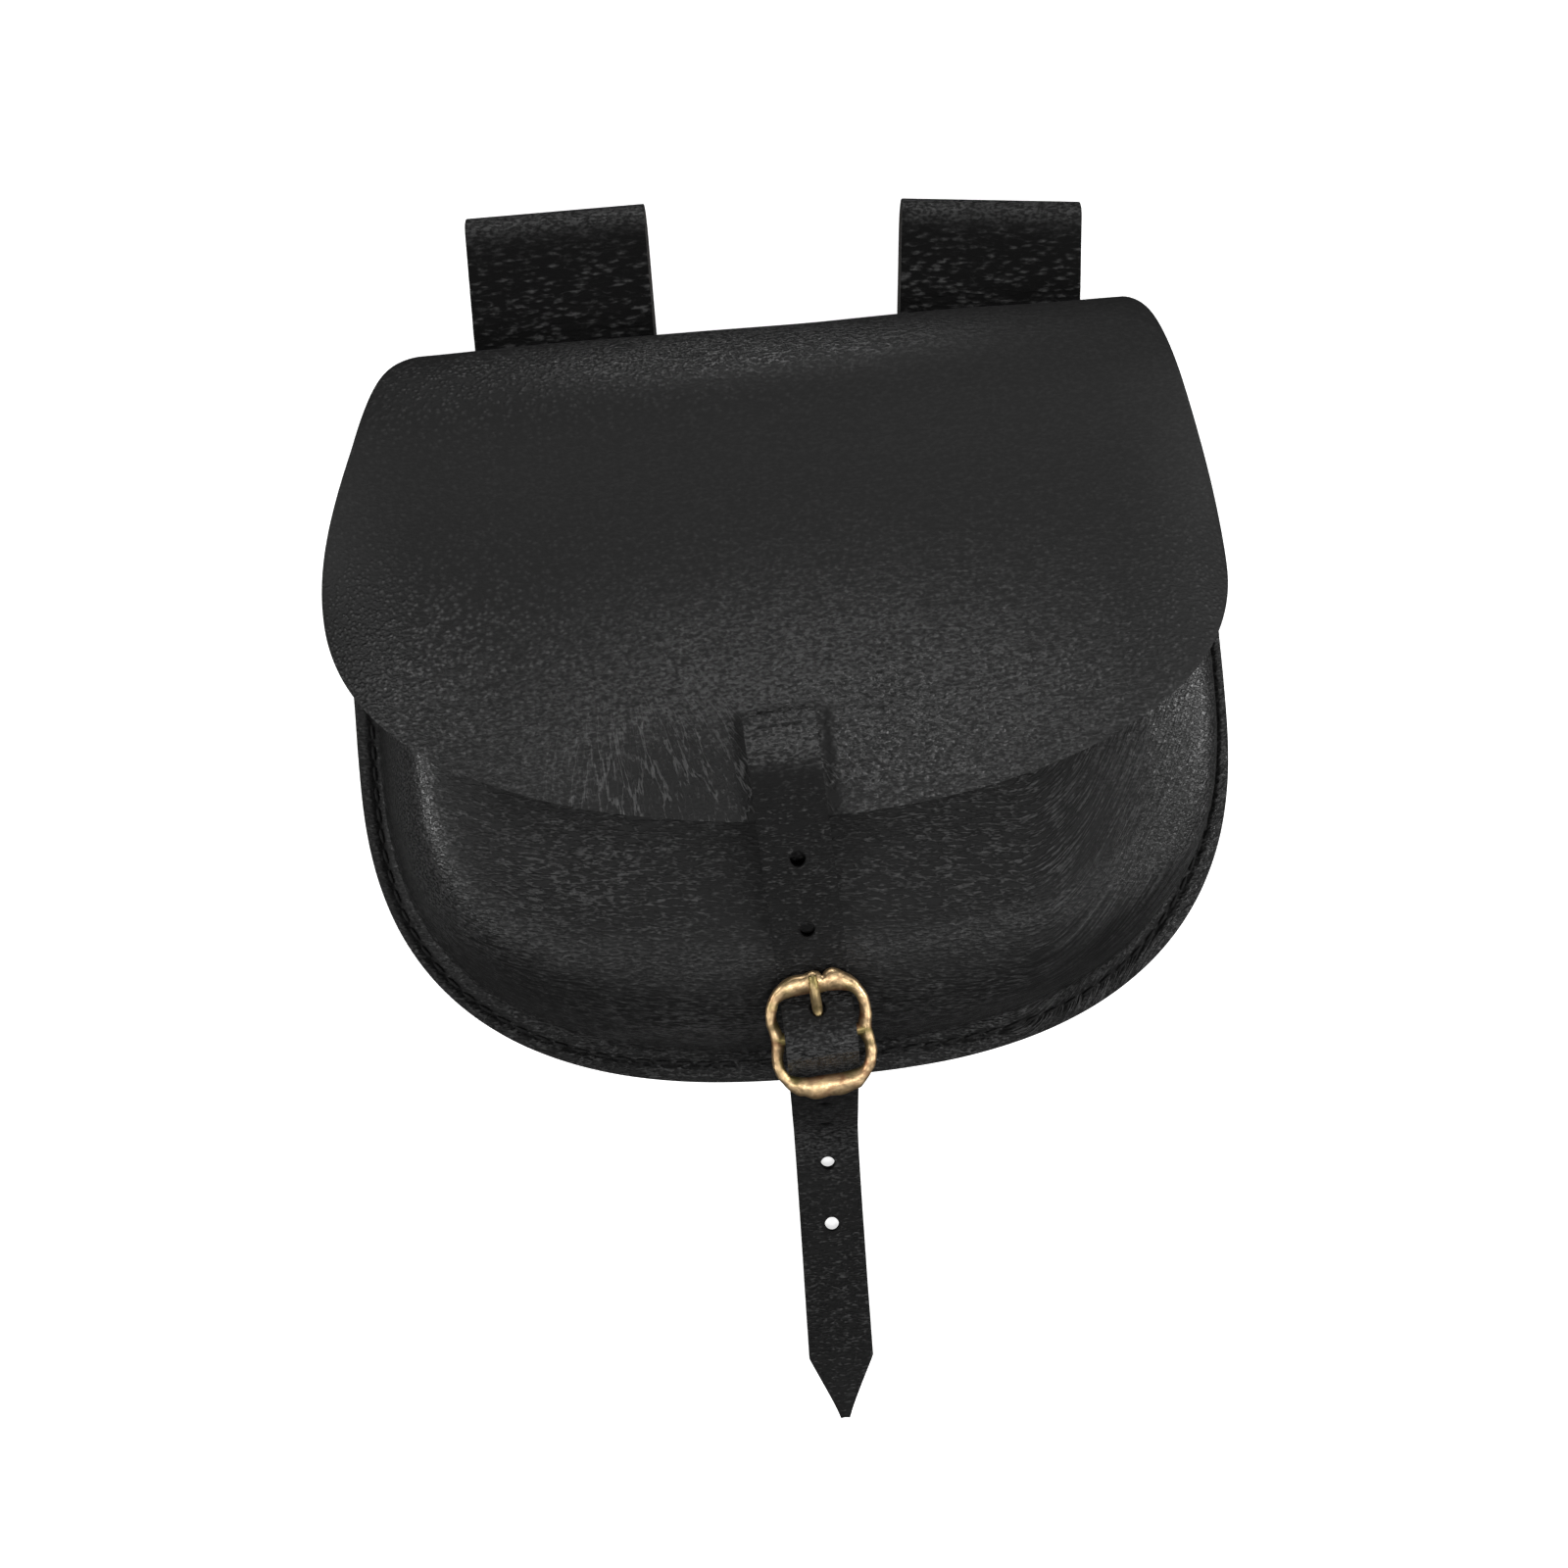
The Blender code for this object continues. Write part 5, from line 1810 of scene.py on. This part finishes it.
    def build_frame(self) -> None:
        """Builds the cast frame and its middle bar, one piece of brass."""
        shape = bmesh.new()
        made = bmesh.ops.create_circle(shape, segments=self.sides, radius=0.5)
        bmesh.ops.rotate(shape, verts=made["verts"], matrix=Matrix.Rotation(math.pi / 2.0, 3, "X"))
        bmesh.ops.translate(shape, verts=made["verts"], vec=(1.0, 0.0, 0.0))
        bmesh.ops.spin(
            shape,
            geom=shape.verts[:] + shape.edges[:],
            cent=(0.0, 0.0, 0.0),
            axis=(0.0, 0.0, 1.0),
            angle=2.0 * math.pi,
            steps=self.steps,
            use_merge=True,
        )
        tarnish = shape.verts.layers.float.new(Grain.PEBBLE.value)
        step = 0.01
        for vertex in shape.verts:
            flat = Vector((vertex.co.x, vertex.co.y, 0.0))
            angle = math.atan2(flat.y, flat.x)
            middle, width = self.outline(angle)
            slope = (self.outline(angle + step)[0] - self.outline(angle - step)[0]).normalized()
            outwards = Vector((slope.y, -slope.x, 0.0))
            off = flat.length - 1.0
            height = vertex.co.z
            outer = ease(off / 0.5)
            inner = ease(-off / 0.5)
            square = 1.0 + self.corner_fill * (1.0 - abs(abs(off) - abs(height)) / 0.5)
            spot = middle + outwards * off * width * square
            spot += outwards * outer * self.outer_relief(middle.x, middle.y)
            spot.z = height * self.thickness * square * (1.0 - self.inner_thinning * inner)
            lumps = ripple(spot, self.lump_length, 3.0) + 0.5 * ripple(spot, self.pit_length, 8.0)
            spot += (outwards * off + Vector((0.0, 0.0, height))).normalized() * lumps * self.lump
            vertex.co = spot
            vertex[tarnish] = self.tarnish[0] * inner + self.tarnish[1] * ease(-height / 0.5)
        bmesh.ops.recalc_face_normals(shape, faces=shape.faces)
        piece = add_piece("brass_buckle_frame", shape, [self.brass])
        across = 2.0 * self.outline(0.0)[0].x
        bar = add_piece("middle_bar", turned_bar(self.bar_radius, across, 32), [self.brass])
        bar.data.transform(Matrix.Rotation(math.pi / 2.0, 4, "Y"))
        combine(piece, [bar], "UNION")
        worn = piece.data.attributes[Grain.PEBBLE.value].data
        for vertex, share in zip(piece.data.vertices, worn):
            if math.hypot(vertex.co.y, vertex.co.z) < 1.05 * self.bar_radius:
                share.value = 1.0
        piece.data.transform(self.place_matrix())
        piece.data.shade_smooth()
        hand_over(piece, Slot.BUCKLE, "buckle_frame")

    def prong_points(self) -> list[tuple[Vector, float]]:
        """The prong's middle line and its radius, as a share, in the buckle's frame.

        Returns:
            Its points.
        """
        loop = self.bar_radius + self.form.seam_gap + self.prong_radius
        rest = self.thickness / 2.0 + self.form.seam_gap + self.prong_radius
        steps, shaft = self.prong_steps
        line = []
        for i in range(steps + 1):
            angle = self.prong_open - (1.5 * math.pi + self.prong_open) * i / steps
            line.append((Vector((0.0, loop * math.cos(angle), loop * math.sin(angle))), 1.0))
        length = self.half_length + self.prong_overhang
        for i in range(1, shaft + 1):
            share = i / shaft
            y = length * share
            along_shaft = min(1.0, y / self.half_length)
            height = loop + (rest + 0.25 * MM - loop) * ease(along_shaft)
            height -= self.prong_bend * hill(along_shaft, 0.5, 0.25)
            past = max(0.0, y - self.half_length) / self.prong_overhang
            spot = Vector((self.prong_lean * share, y, height - self.prong_dip * past * past))
            swell = self.prong_swell * hill(share, 0.55, 0.3)
            line.append((spot, self.prong_share + swell - self.prong_thinning * past))
        return line

    def build_prong(self) -> None:
        """Builds the prong, whose loop is on the middle bar and whose tip rests on the frame's far end."""
        line = self.prong_points()
        curve = bpy.data.curves.new("prong_line", "CURVE")
        curve.dimensions = "3D"
        curve.bevel_depth = self.prong_radius
        curve.bevel_resolution = 5
        curve.use_fill_caps = True
        spline = curve.splines.new("POLY")
        spline.points.add(len(line) - 1)
        for spot, (point, radius) in zip(spline.points, line):
            spot.co = (*point, 1.0)
            spot.radius = radius
        maker = bpy.data.objects.new("prong_line", curve)
        bpy.context.scene.collection.objects.link(maker)
        mesh = finished_mesh(maker)
        bpy.data.objects.remove(maker)
        shape = bmesh.new()
        shape.from_mesh(mesh)
        bpy.data.meshes.remove(mesh)
        bmesh.ops.remove_doubles(shape, verts=shape.verts, dist=0.01 * MM)
        tarnish = shape.verts.layers.float.new(Grain.PEBBLE.value)
        for vertex in shape.verts:
            vertex.co += vertex.normal * self.prong_lump * ripple(vertex.co, self.prong_lump_length, 6.0)
            vertex[tarnish] = self.tarnish[2]
        rim = [edge for edge in shape.edges if edge.calc_face_angle(0.0) > math.radians(60.0)]
        bmesh.ops.bevel(
            shape,
            geom=rim,
            offset=0.25 * MM,
            offset_type="OFFSET",
            segments=2,
            profile=0.5,
            affect="EDGES",
            material=-1,
        )
        bmesh.ops.recalc_face_normals(shape, faces=shape.faces)
        piece = add_piece("brass_buckle_prong", shape, [self.brass])
        piece.data.transform(self.place_matrix())
        hand_over(piece, Slot.BUCKLE, "buckle_prong")


@dataclass(frozen=True)
class Chape:
    """The strip that is folded round the middle bar, both layers sewn to the front's wall."""

    form: Form
    leather: Leather
    buckle: Buckle
    width: float = 13.6 * MM
    bend: float = 4.0 * MM
    slot: float = 4.4 * MM
    low: float = 2.7
    high: float = 4.7
    steps: int = 3
    columns: int = 18
    row_turn: float = math.radians(6.0)
    row_length: float = 0.8 * MM
    pebbles: float = 0.25
    creases: float = 0.6
    polish_and_painted_light: float = 0.3

    def path(self) -> list[Vector]:
        """The strip's middle line.

        Returns:
            Its points.
        """
        thickness = self.leather.thickness
        bar = self.buckle.place_matrix().translation
        gap = self.form.seam_gap
        inner = gap + thickness / 2.0
        outer = inner + thickness + gap
        ups = [self.low + (self.high - self.low) * i / self.steps for i in range(self.steps + 1)]

        def off_wall(at: float, distance: float) -> Vector:
            """A point at a distance from the front's wall."""
            point, out = self.form.wall_profile(at)
            return point + out * distance

        foot = off_wall(self.high, (inner + outer) / 2.0)
        down = Vector((0.0, foot.y - bar.y, foot.z - bar.z)).normalized()
        side = Vector((0.0, -down.z, down.y))
        radius = self.buckle.bar_radius + inner
        corners = [(off_wall(at, inner), self.bend) for at in ups]
        corners += [(bar + radius * (side - down), radius), (bar - radius * (side + down), radius)]
        corners += [(off_wall(at, outer), self.bend) for at in reversed(ups)]
        line = [(self.buckle.x, spot.y, spot.z, bend) for spot, bend in corners]
        return bent_line(line, self.row_turn, self.row_length)

    def build(self) -> None:
        """Builds and dresses the chape."""
        path = self.path()
        bar = self.buckle.place_matrix().translation
        foot_z = min(point.z for point in path)

        def lean(step: int) -> float:
            """How far the strip turns towards the buckle's own lean."""
            return self.buckle.lean * ease((path[step].z - foot_z) / (bar.z - foot_z))

        reach = self.buckle.bar_radius + 2.0 * self.buckle.prong_radius + 2.0 * self.form.seam_gap
        top = self.buckle.bar_radius + self.form.seam_gap + 1.5 * self.leather.thickness
        cutter_shape = bmesh.new()
        bmesh.ops.create_cube(cutter_shape, size=1.0)
        bmesh.ops.scale(cutter_shape, verts=cutter_shape.verts, vec=(self.slot, 3.0 * reach, top + reach))
        bmesh.ops.translate(cutter_shape, verts=cutter_shape.verts, vec=(0.0, 0.0, (top - reach) / 2.0))
        cutter = add_piece("chape_slot", cutter_shape, [])
        cutter.data.transform(self.buckle.place_matrix())
        shape = Strip(self.width, self.columns).surface(path, lean=lean)
        zones = {
            Grain.PEBBLE: lambda spot: self.pebbles,
            Grain.LEVEL: lambda spot: self.creases,
            Grain.SHEEN_AND_PAINTED_LIGHT: lambda spot: self.polish_and_painted_light,
        }
        piece = self.leather.cut("leather_chape", shape, zones, cutters=[cutter])
        hand_over(piece, Slot.STRAP, "chape")


@dataclass(frozen=True)
class ClosingStrap:
    """The strap from the flap through the buckle to its pointed free end."""

    form: Form
    leather: Leather
    buckle: Buckle
    width: float = 15.2 * MM
    slope: float = math.radians(47.0)
    top_y: float = 3.0 * MM
    upper_lean: float = math.radians(2.8)
    tail_lean: float = math.radians(-1.0)
    tail_reach: float = 89.8 * MM
    tail_point: float = 14.0 * MM
    tip_width: float = 1.2 * MM
    # how the free end falls to the surface: shares of the reach, of the height, and of the reach again
    # for the bend
    tail_falls: Table = ((0.25, 0.07, 0.2227), (0.40, 0.00, 0.6682), (0.60, 0.00, 1.559))
    tail_taper: Pair = (0.127, 0.0)  # height and bend where it starts to narrow
    tail_end: Triple = (1.00, 0.16, 0.0)
    on_front: Pair = (0.45, 0.75)
    edge_bend: float = 40.0 * MM
    front_bend: float = 30.0 * MM
    under_bend: float = 4.0 * MM
    near_bend: float = 12.0 * MM
    hole_radius: float = 1.7 * MM
    hole_sides: int = 28
    hole_pitch: float = 15.4 * MM
    last_hole: float = 45.0 * MM
    lower_holes: int = 5
    upper_hole: float = 21.5 * MM
    upper_holes: int = 2
    prong_slot: float = 3.8 * MM
    slot_shift: float = 2.3 * MM  # how far the prong has pulled its hole towards the flap
    columns: int = 22
    crown: float = 0.22 * MM
    stitch_inset: float = 2.6 * MM
    stitch_places: tuple[float, ...] = (-0.75, -0.25, 0.25, 0.75)  # shares of the way to the last stitch
    waver: Pair = (0.12 * MM, 9.0 * MM)  # height and length of its unevenness
    row_turn: float = math.radians(4.0)
    row_length: float = 0.8 * MM
    base: Triple = (0.20, 0.45, 0.10)  # pebbles, creases and polish all over
    pebbles: Patches = ((0.25, 0.0, -30.0, 30.0, 30.0),)
    # strong where the strap bends and on its free end
    level_creases: Table = (
        (-0.3, -16.0, 8.0),
        (0.5, -28.0, 14.0),
        (0.6, -56.0, 8.0),
        (-0.4, -71.0, 7.0),
        (0.8, -135.0, 24.0),
    )
    # polish, which also lightens the colour as painted highlight: on the sewn top, where the strap goes over
    # the bar, and just above and below the buckle
    polish_and_painted_light: Table = ((1.00, -12.0, 10.0), (0.90, -71.0, 6.0), (0.25, -54.0, 10.0), (0.50, -95.0, 12.0))

    def climb(self, height: float) -> float:
        """Where the strap's middle line is at a height, in the buckle's frame, as it climbs over the bar."""
        return (self.buckle.strap_over - height * math.cos(self.slope)) / math.sin(self.slope)

    def path(self) -> list[Vector]:
        """The strap's middle line: over the flap and the front, through the buckle, down to the surface.

        Returns:
            Its points.
        """
        f = self.form
        half = self.leather.thickness / 2.0
        edge_y = f.flap_widest_y - f.flap_drop
        on_flap = f.leather / 2.0 + f.seam_gap + half
        place = self.buckle.place_matrix()

        def at_buckle(y: float, z: float) -> Pair:
            """A point of the buckle's frame, as the pouch's y and z."""
            spot = place @ Vector((0.0, y, z))
            return spot.y, spot.z

        under = -self.buckle.strap_under
        over = self.buckle.strap_over
        near_y, near_z = at_buckle(-self.climb(0.5 * under), 0.5 * under)
        corners = [
            (self.top_y, f.flap_middle(0.0, self.top_y) + on_flap, 0.0),
            (edge_y - f.leather, f.flap_middle(0.0, edge_y) + on_flap, self.edge_bend),
        ]
        bend_y = at_buckle(self.climb(under), under)[0]
        for share in self.on_front:
            y = edge_y + share * (bend_y - edge_y)
            corners.append((y, f.front_height(y) + 3.0 * f.seam_gap + half, self.front_bend))
        corners += [
            (*at_buckle(self.climb(under), under), self.under_bend),
            (*at_buckle(0.0, over / math.cos(self.slope)), over),
            (near_y, near_z, self.near_bend),
        ]
        taper = 1.0 - self.tail_point / self.tail_reach
        for reach, height, bend in (*self.tail_falls, (taper, *self.tail_taper), self.tail_end):
            y = near_y - reach * self.tail_reach
            corners.append((y, half + height * (near_z - half), bend * self.tail_reach))
        line = []
        for y, z, bend in corners:
            away = y - self.buckle.y
            lean = self.upper_lean if away > 0.0 else self.tail_lean
            line.append((self.buckle.x - away * math.tan(lean), y, z, bend))
        return bent_line(line, self.row_turn, self.row_length)

    def hole(self, path: Path, station: float, length: float) -> Piece:
        """A cutter for a hole.

        Args:
            path: The strap's middle line.
            station: Distance of the hole along it.
            length: Length that the hole has stretched to, or 0 if it is round.

        Returns:
            The cutter.
        """
        index = 0
        while index < len(path) - 2 and station > (path[index + 1] - path[index]).length:
            station -= (path[index + 1] - path[index]).length
            index += 1
        spot = path[index].lerp(path[index + 1], station / (path[index + 1] - path[index]).length)
        run = (path[min(index + 3, len(path) - 1)] - path[max(index - 2, 0)]).normalized()
        out = Vector((1.0, 0.0, 0.0)).cross(run).normalized()
        turn = Matrix((run.cross(out), run, out)).transposed().to_4x4()
        shape = turned_bar(self.hole_radius, 4.0 * self.leather.thickness, self.hole_sides)
        for vertex in shape.verts:
            vertex.co.y += math.copysign(max(0.0, length / 2.0 - self.hole_radius), vertex.co.y)
        bmesh.ops.transform(shape, matrix=Matrix.Translation(spot) @ turn, verts=shape.verts)
        return add_piece("hole_cutter", shape, [])

    def station_of(self, path: Path, y: float) -> float:
        """Distance along the strap to where it passes y.

        Args:
            path: The strap's middle line.
            y: The place along the pouch.

        Returns:
            The distance.
        """
        passed = 0.0
        for a, b in zip(path, path[1:]):
            if a.y >= y > b.y:
                return passed + (b - a).length * (a.y - y) / (a.y - b.y)
            passed += (b - a).length
        return passed

    def build(self) -> None:
        """Builds and dresses the strap."""
        path = self.path()
        lengths = lengths_along(path)
        total = lengths[-1]

        def narrowing(step: int) -> float:
            """The strap's width, which runs to a point."""
            share = min(1.0, (total - lengths[step]) / self.tail_point)
            return self.tip_width + (self.width - self.tip_width) * share

        def lean(step: int) -> float:
            """How far the strap turns about Z.

            Args:
                step: Which sample of its middle line.

            Returns:
                The angle.
            """
            away = path[step].y - self.buckle.y
            share = ease(0.5 + away / (2.0 * self.buckle.half_length))
            at_buckle = max(0.0, 1.0 - abs(away) / (2.0 * self.buckle.half_length))
            plain = self.tail_lean + (self.upper_lean - self.tail_lean) * share
            return plain + (self.buckle.lean - plain) * at_buckle

        def relief(spot: Vector, column: float) -> float:
            """Unevenness of the strap."""
            return self.waver[0] * (1.0 + ripple(spot, self.waver[1], 6.0))

        strip = Strip(self.width, self.columns, crown=self.crown)
        shape = strip.surface(path, lean=lean, narrowing=narrowing, relief=relief)
        shaft = self.buckle.bar_radius + self.form.seam_gap + self.buckle.prong_radius
        crossing = self.buckle.place_matrix() @ Vector((0.0, self.climb(shaft), shaft))
        in_use = self.station_of(path, crossing.y)
        cutters = [self.hole(path, in_use - self.slot_shift, self.prong_slot)]
        rows = ((total - self.last_hole, self.lower_holes), (in_use - self.upper_hole, self.upper_holes))
        for first, count in rows:
            cutters += [self.hole(path, first - i * self.hole_pitch, 0.0) for i in range(count)]
        zones = {
            Grain.PEBBLE: lambda spot: self.base[0] + patched(spot, self.pebbles),
            Grain.LEVEL: lambda spot: self.base[1] + self.banded(spot, self.level_creases),
            Grain.SHEEN_AND_PAINTED_LIGHT: lambda spot: self.base[2] + self.banded(spot, self.polish_and_painted_light),
        }
        piece = self.leather.cut("leather_strap", shape, zones, cutters=cutters)
        hand_over(piece, Slot.STRAP, "strap")

    def banded(self, spot: Vector, bands: Table) -> float:
        """Strength of a pattern at a point, from a table along the strap.

        Args:
            spot: The point.
            bands: First a change, with its start and its run towards the flap, then each band's
                strength, middle and half-width, in millimetres of y.

        Returns:
            The strength.
        """
        change, start, run = bands[0]
        below = sum(strength * hill(spot.y / MM, middle, half) for strength, middle, half in bands[1:])
        return change * ease((spot.y / MM - start) / run) + below

    def stitch_stations(self) -> Stations:
        """A row of stitches across the strap's upper end.

        Returns:
            The middle of each stitch, and the way that it runs.
        """
        y = self.top_y - self.stitch_inset
        middle_x = self.buckle.x - (y - self.buckle.y) * math.tan(self.upper_lean)
        sunk = self.form.leather / 2.0 + self.form.seam_gap + self.leather.thickness
        top = self.form.flap_middle(0.0, y) + sunk
        level = Vector((math.cos(self.upper_lean), math.sin(self.upper_lean), 0.0))
        middle = Vector((middle_x, y, top))
        half = self.width / 2.0 - self.stitch_inset
        return [(middle + level * half * share, level) for share in self.stitch_places]


@dataclass(frozen=True)
class Pouch:
    """The whole pouch."""

    form: Form = Form()
    loop_spacing: float = 100.4 * MM
    loop_shift: float = 4.4 * MM
    # each belt loop's name, its share of the spacing, the y of its top, and its turn
    loops: tuple[tuple[str, float, float, float], ...] = (
        ("left", -0.5, 129.2 * MM, 0.0),
        ("right", 0.5, 123.2 * MM, math.radians(-6.0)),
    )

    def build(self) -> None:
        """Builds all the pieces in order."""
        # light cut edges: painted highlight along the flap's edges
        main = Leather(GrainSide("black_leather_flap", plain=(0.14, 0.74)), edge_tone=0.10)
        BackAndFlap(self.form, main).build()
        seam = SeamLine(self.form)
        front_grain = GrainSide(
            "black_leather_front", tone=0.042, specular=0.30, plain=(0.10, 0.62), fine=(0.12, 0.36)
        )
        Front(self.form, Leather(front_grain), seam).build()
        Stitching("seam_stitches").build(seam.stations(), Slot.FRONT, -0.28 * MM)
        loop_grain = GrainSide(
            "black_leather_loops",
            tone=0.040,
            dull=0.7,
            specular=0.13,
            plain=(0.20, 0.95),
            cell=1.35 * MM,
            spread=2.3,
            crease=(6.0 * MM, 1.6 * MM),
        )
        loop_leather = Leather(loop_grain, edge_tone=0.016, corner_slot=-1)
        for side, share, top_y, turn in self.loops:
            middle_x = self.loop_shift + share * self.loop_spacing
            loop = BeltLoop(self.form, loop_leather, side, middle_x, top_y, turn)
            loop.build()
            stitches = Stitching(f"loop_stitches_{side}", radius=0.35 * MM)
            stitches.build(loop.stitch_stations(), Slot.LOOPS, 0.10 * MM)
        buckle = Buckle(self.form, CastBrass("cast_brass").make())
        buckle.build_frame()
        buckle.build_prong()
        strap_grain = GrainSide(
            "black_leather_strap",
            tone=0.045,
            specular=0.23,
            plain=(0.0, 0.85),
            crease=(4.2 * MM, 0.95 * MM),
        )
        Chape(self.form, Leather(strap_grain, thickness=1.5 * MM), buckle).build()
        # light cut edges: painted highlight along the strap's edges
        strap = ClosingStrap(self.form, Leather(strap_grain, burnish=0.45 * MM, edge_tone=0.13), buckle)
        strap.build()
        strap_stitches = Stitching("strap_stitches", length=2.4 * MM, radius=0.35 * MM)
        strap_stitches.build(strap.stitch_stations(), Slot.STRAP, 0.05 * MM)


def main() -> None:
    """Loads the frame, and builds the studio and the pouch."""
    logging.basicConfig(level=logging.INFO, format="%(name)s: %(message)s")
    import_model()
    Studio().build()
    Pouch().build()
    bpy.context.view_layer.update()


if __name__ == "__main__":
    main()
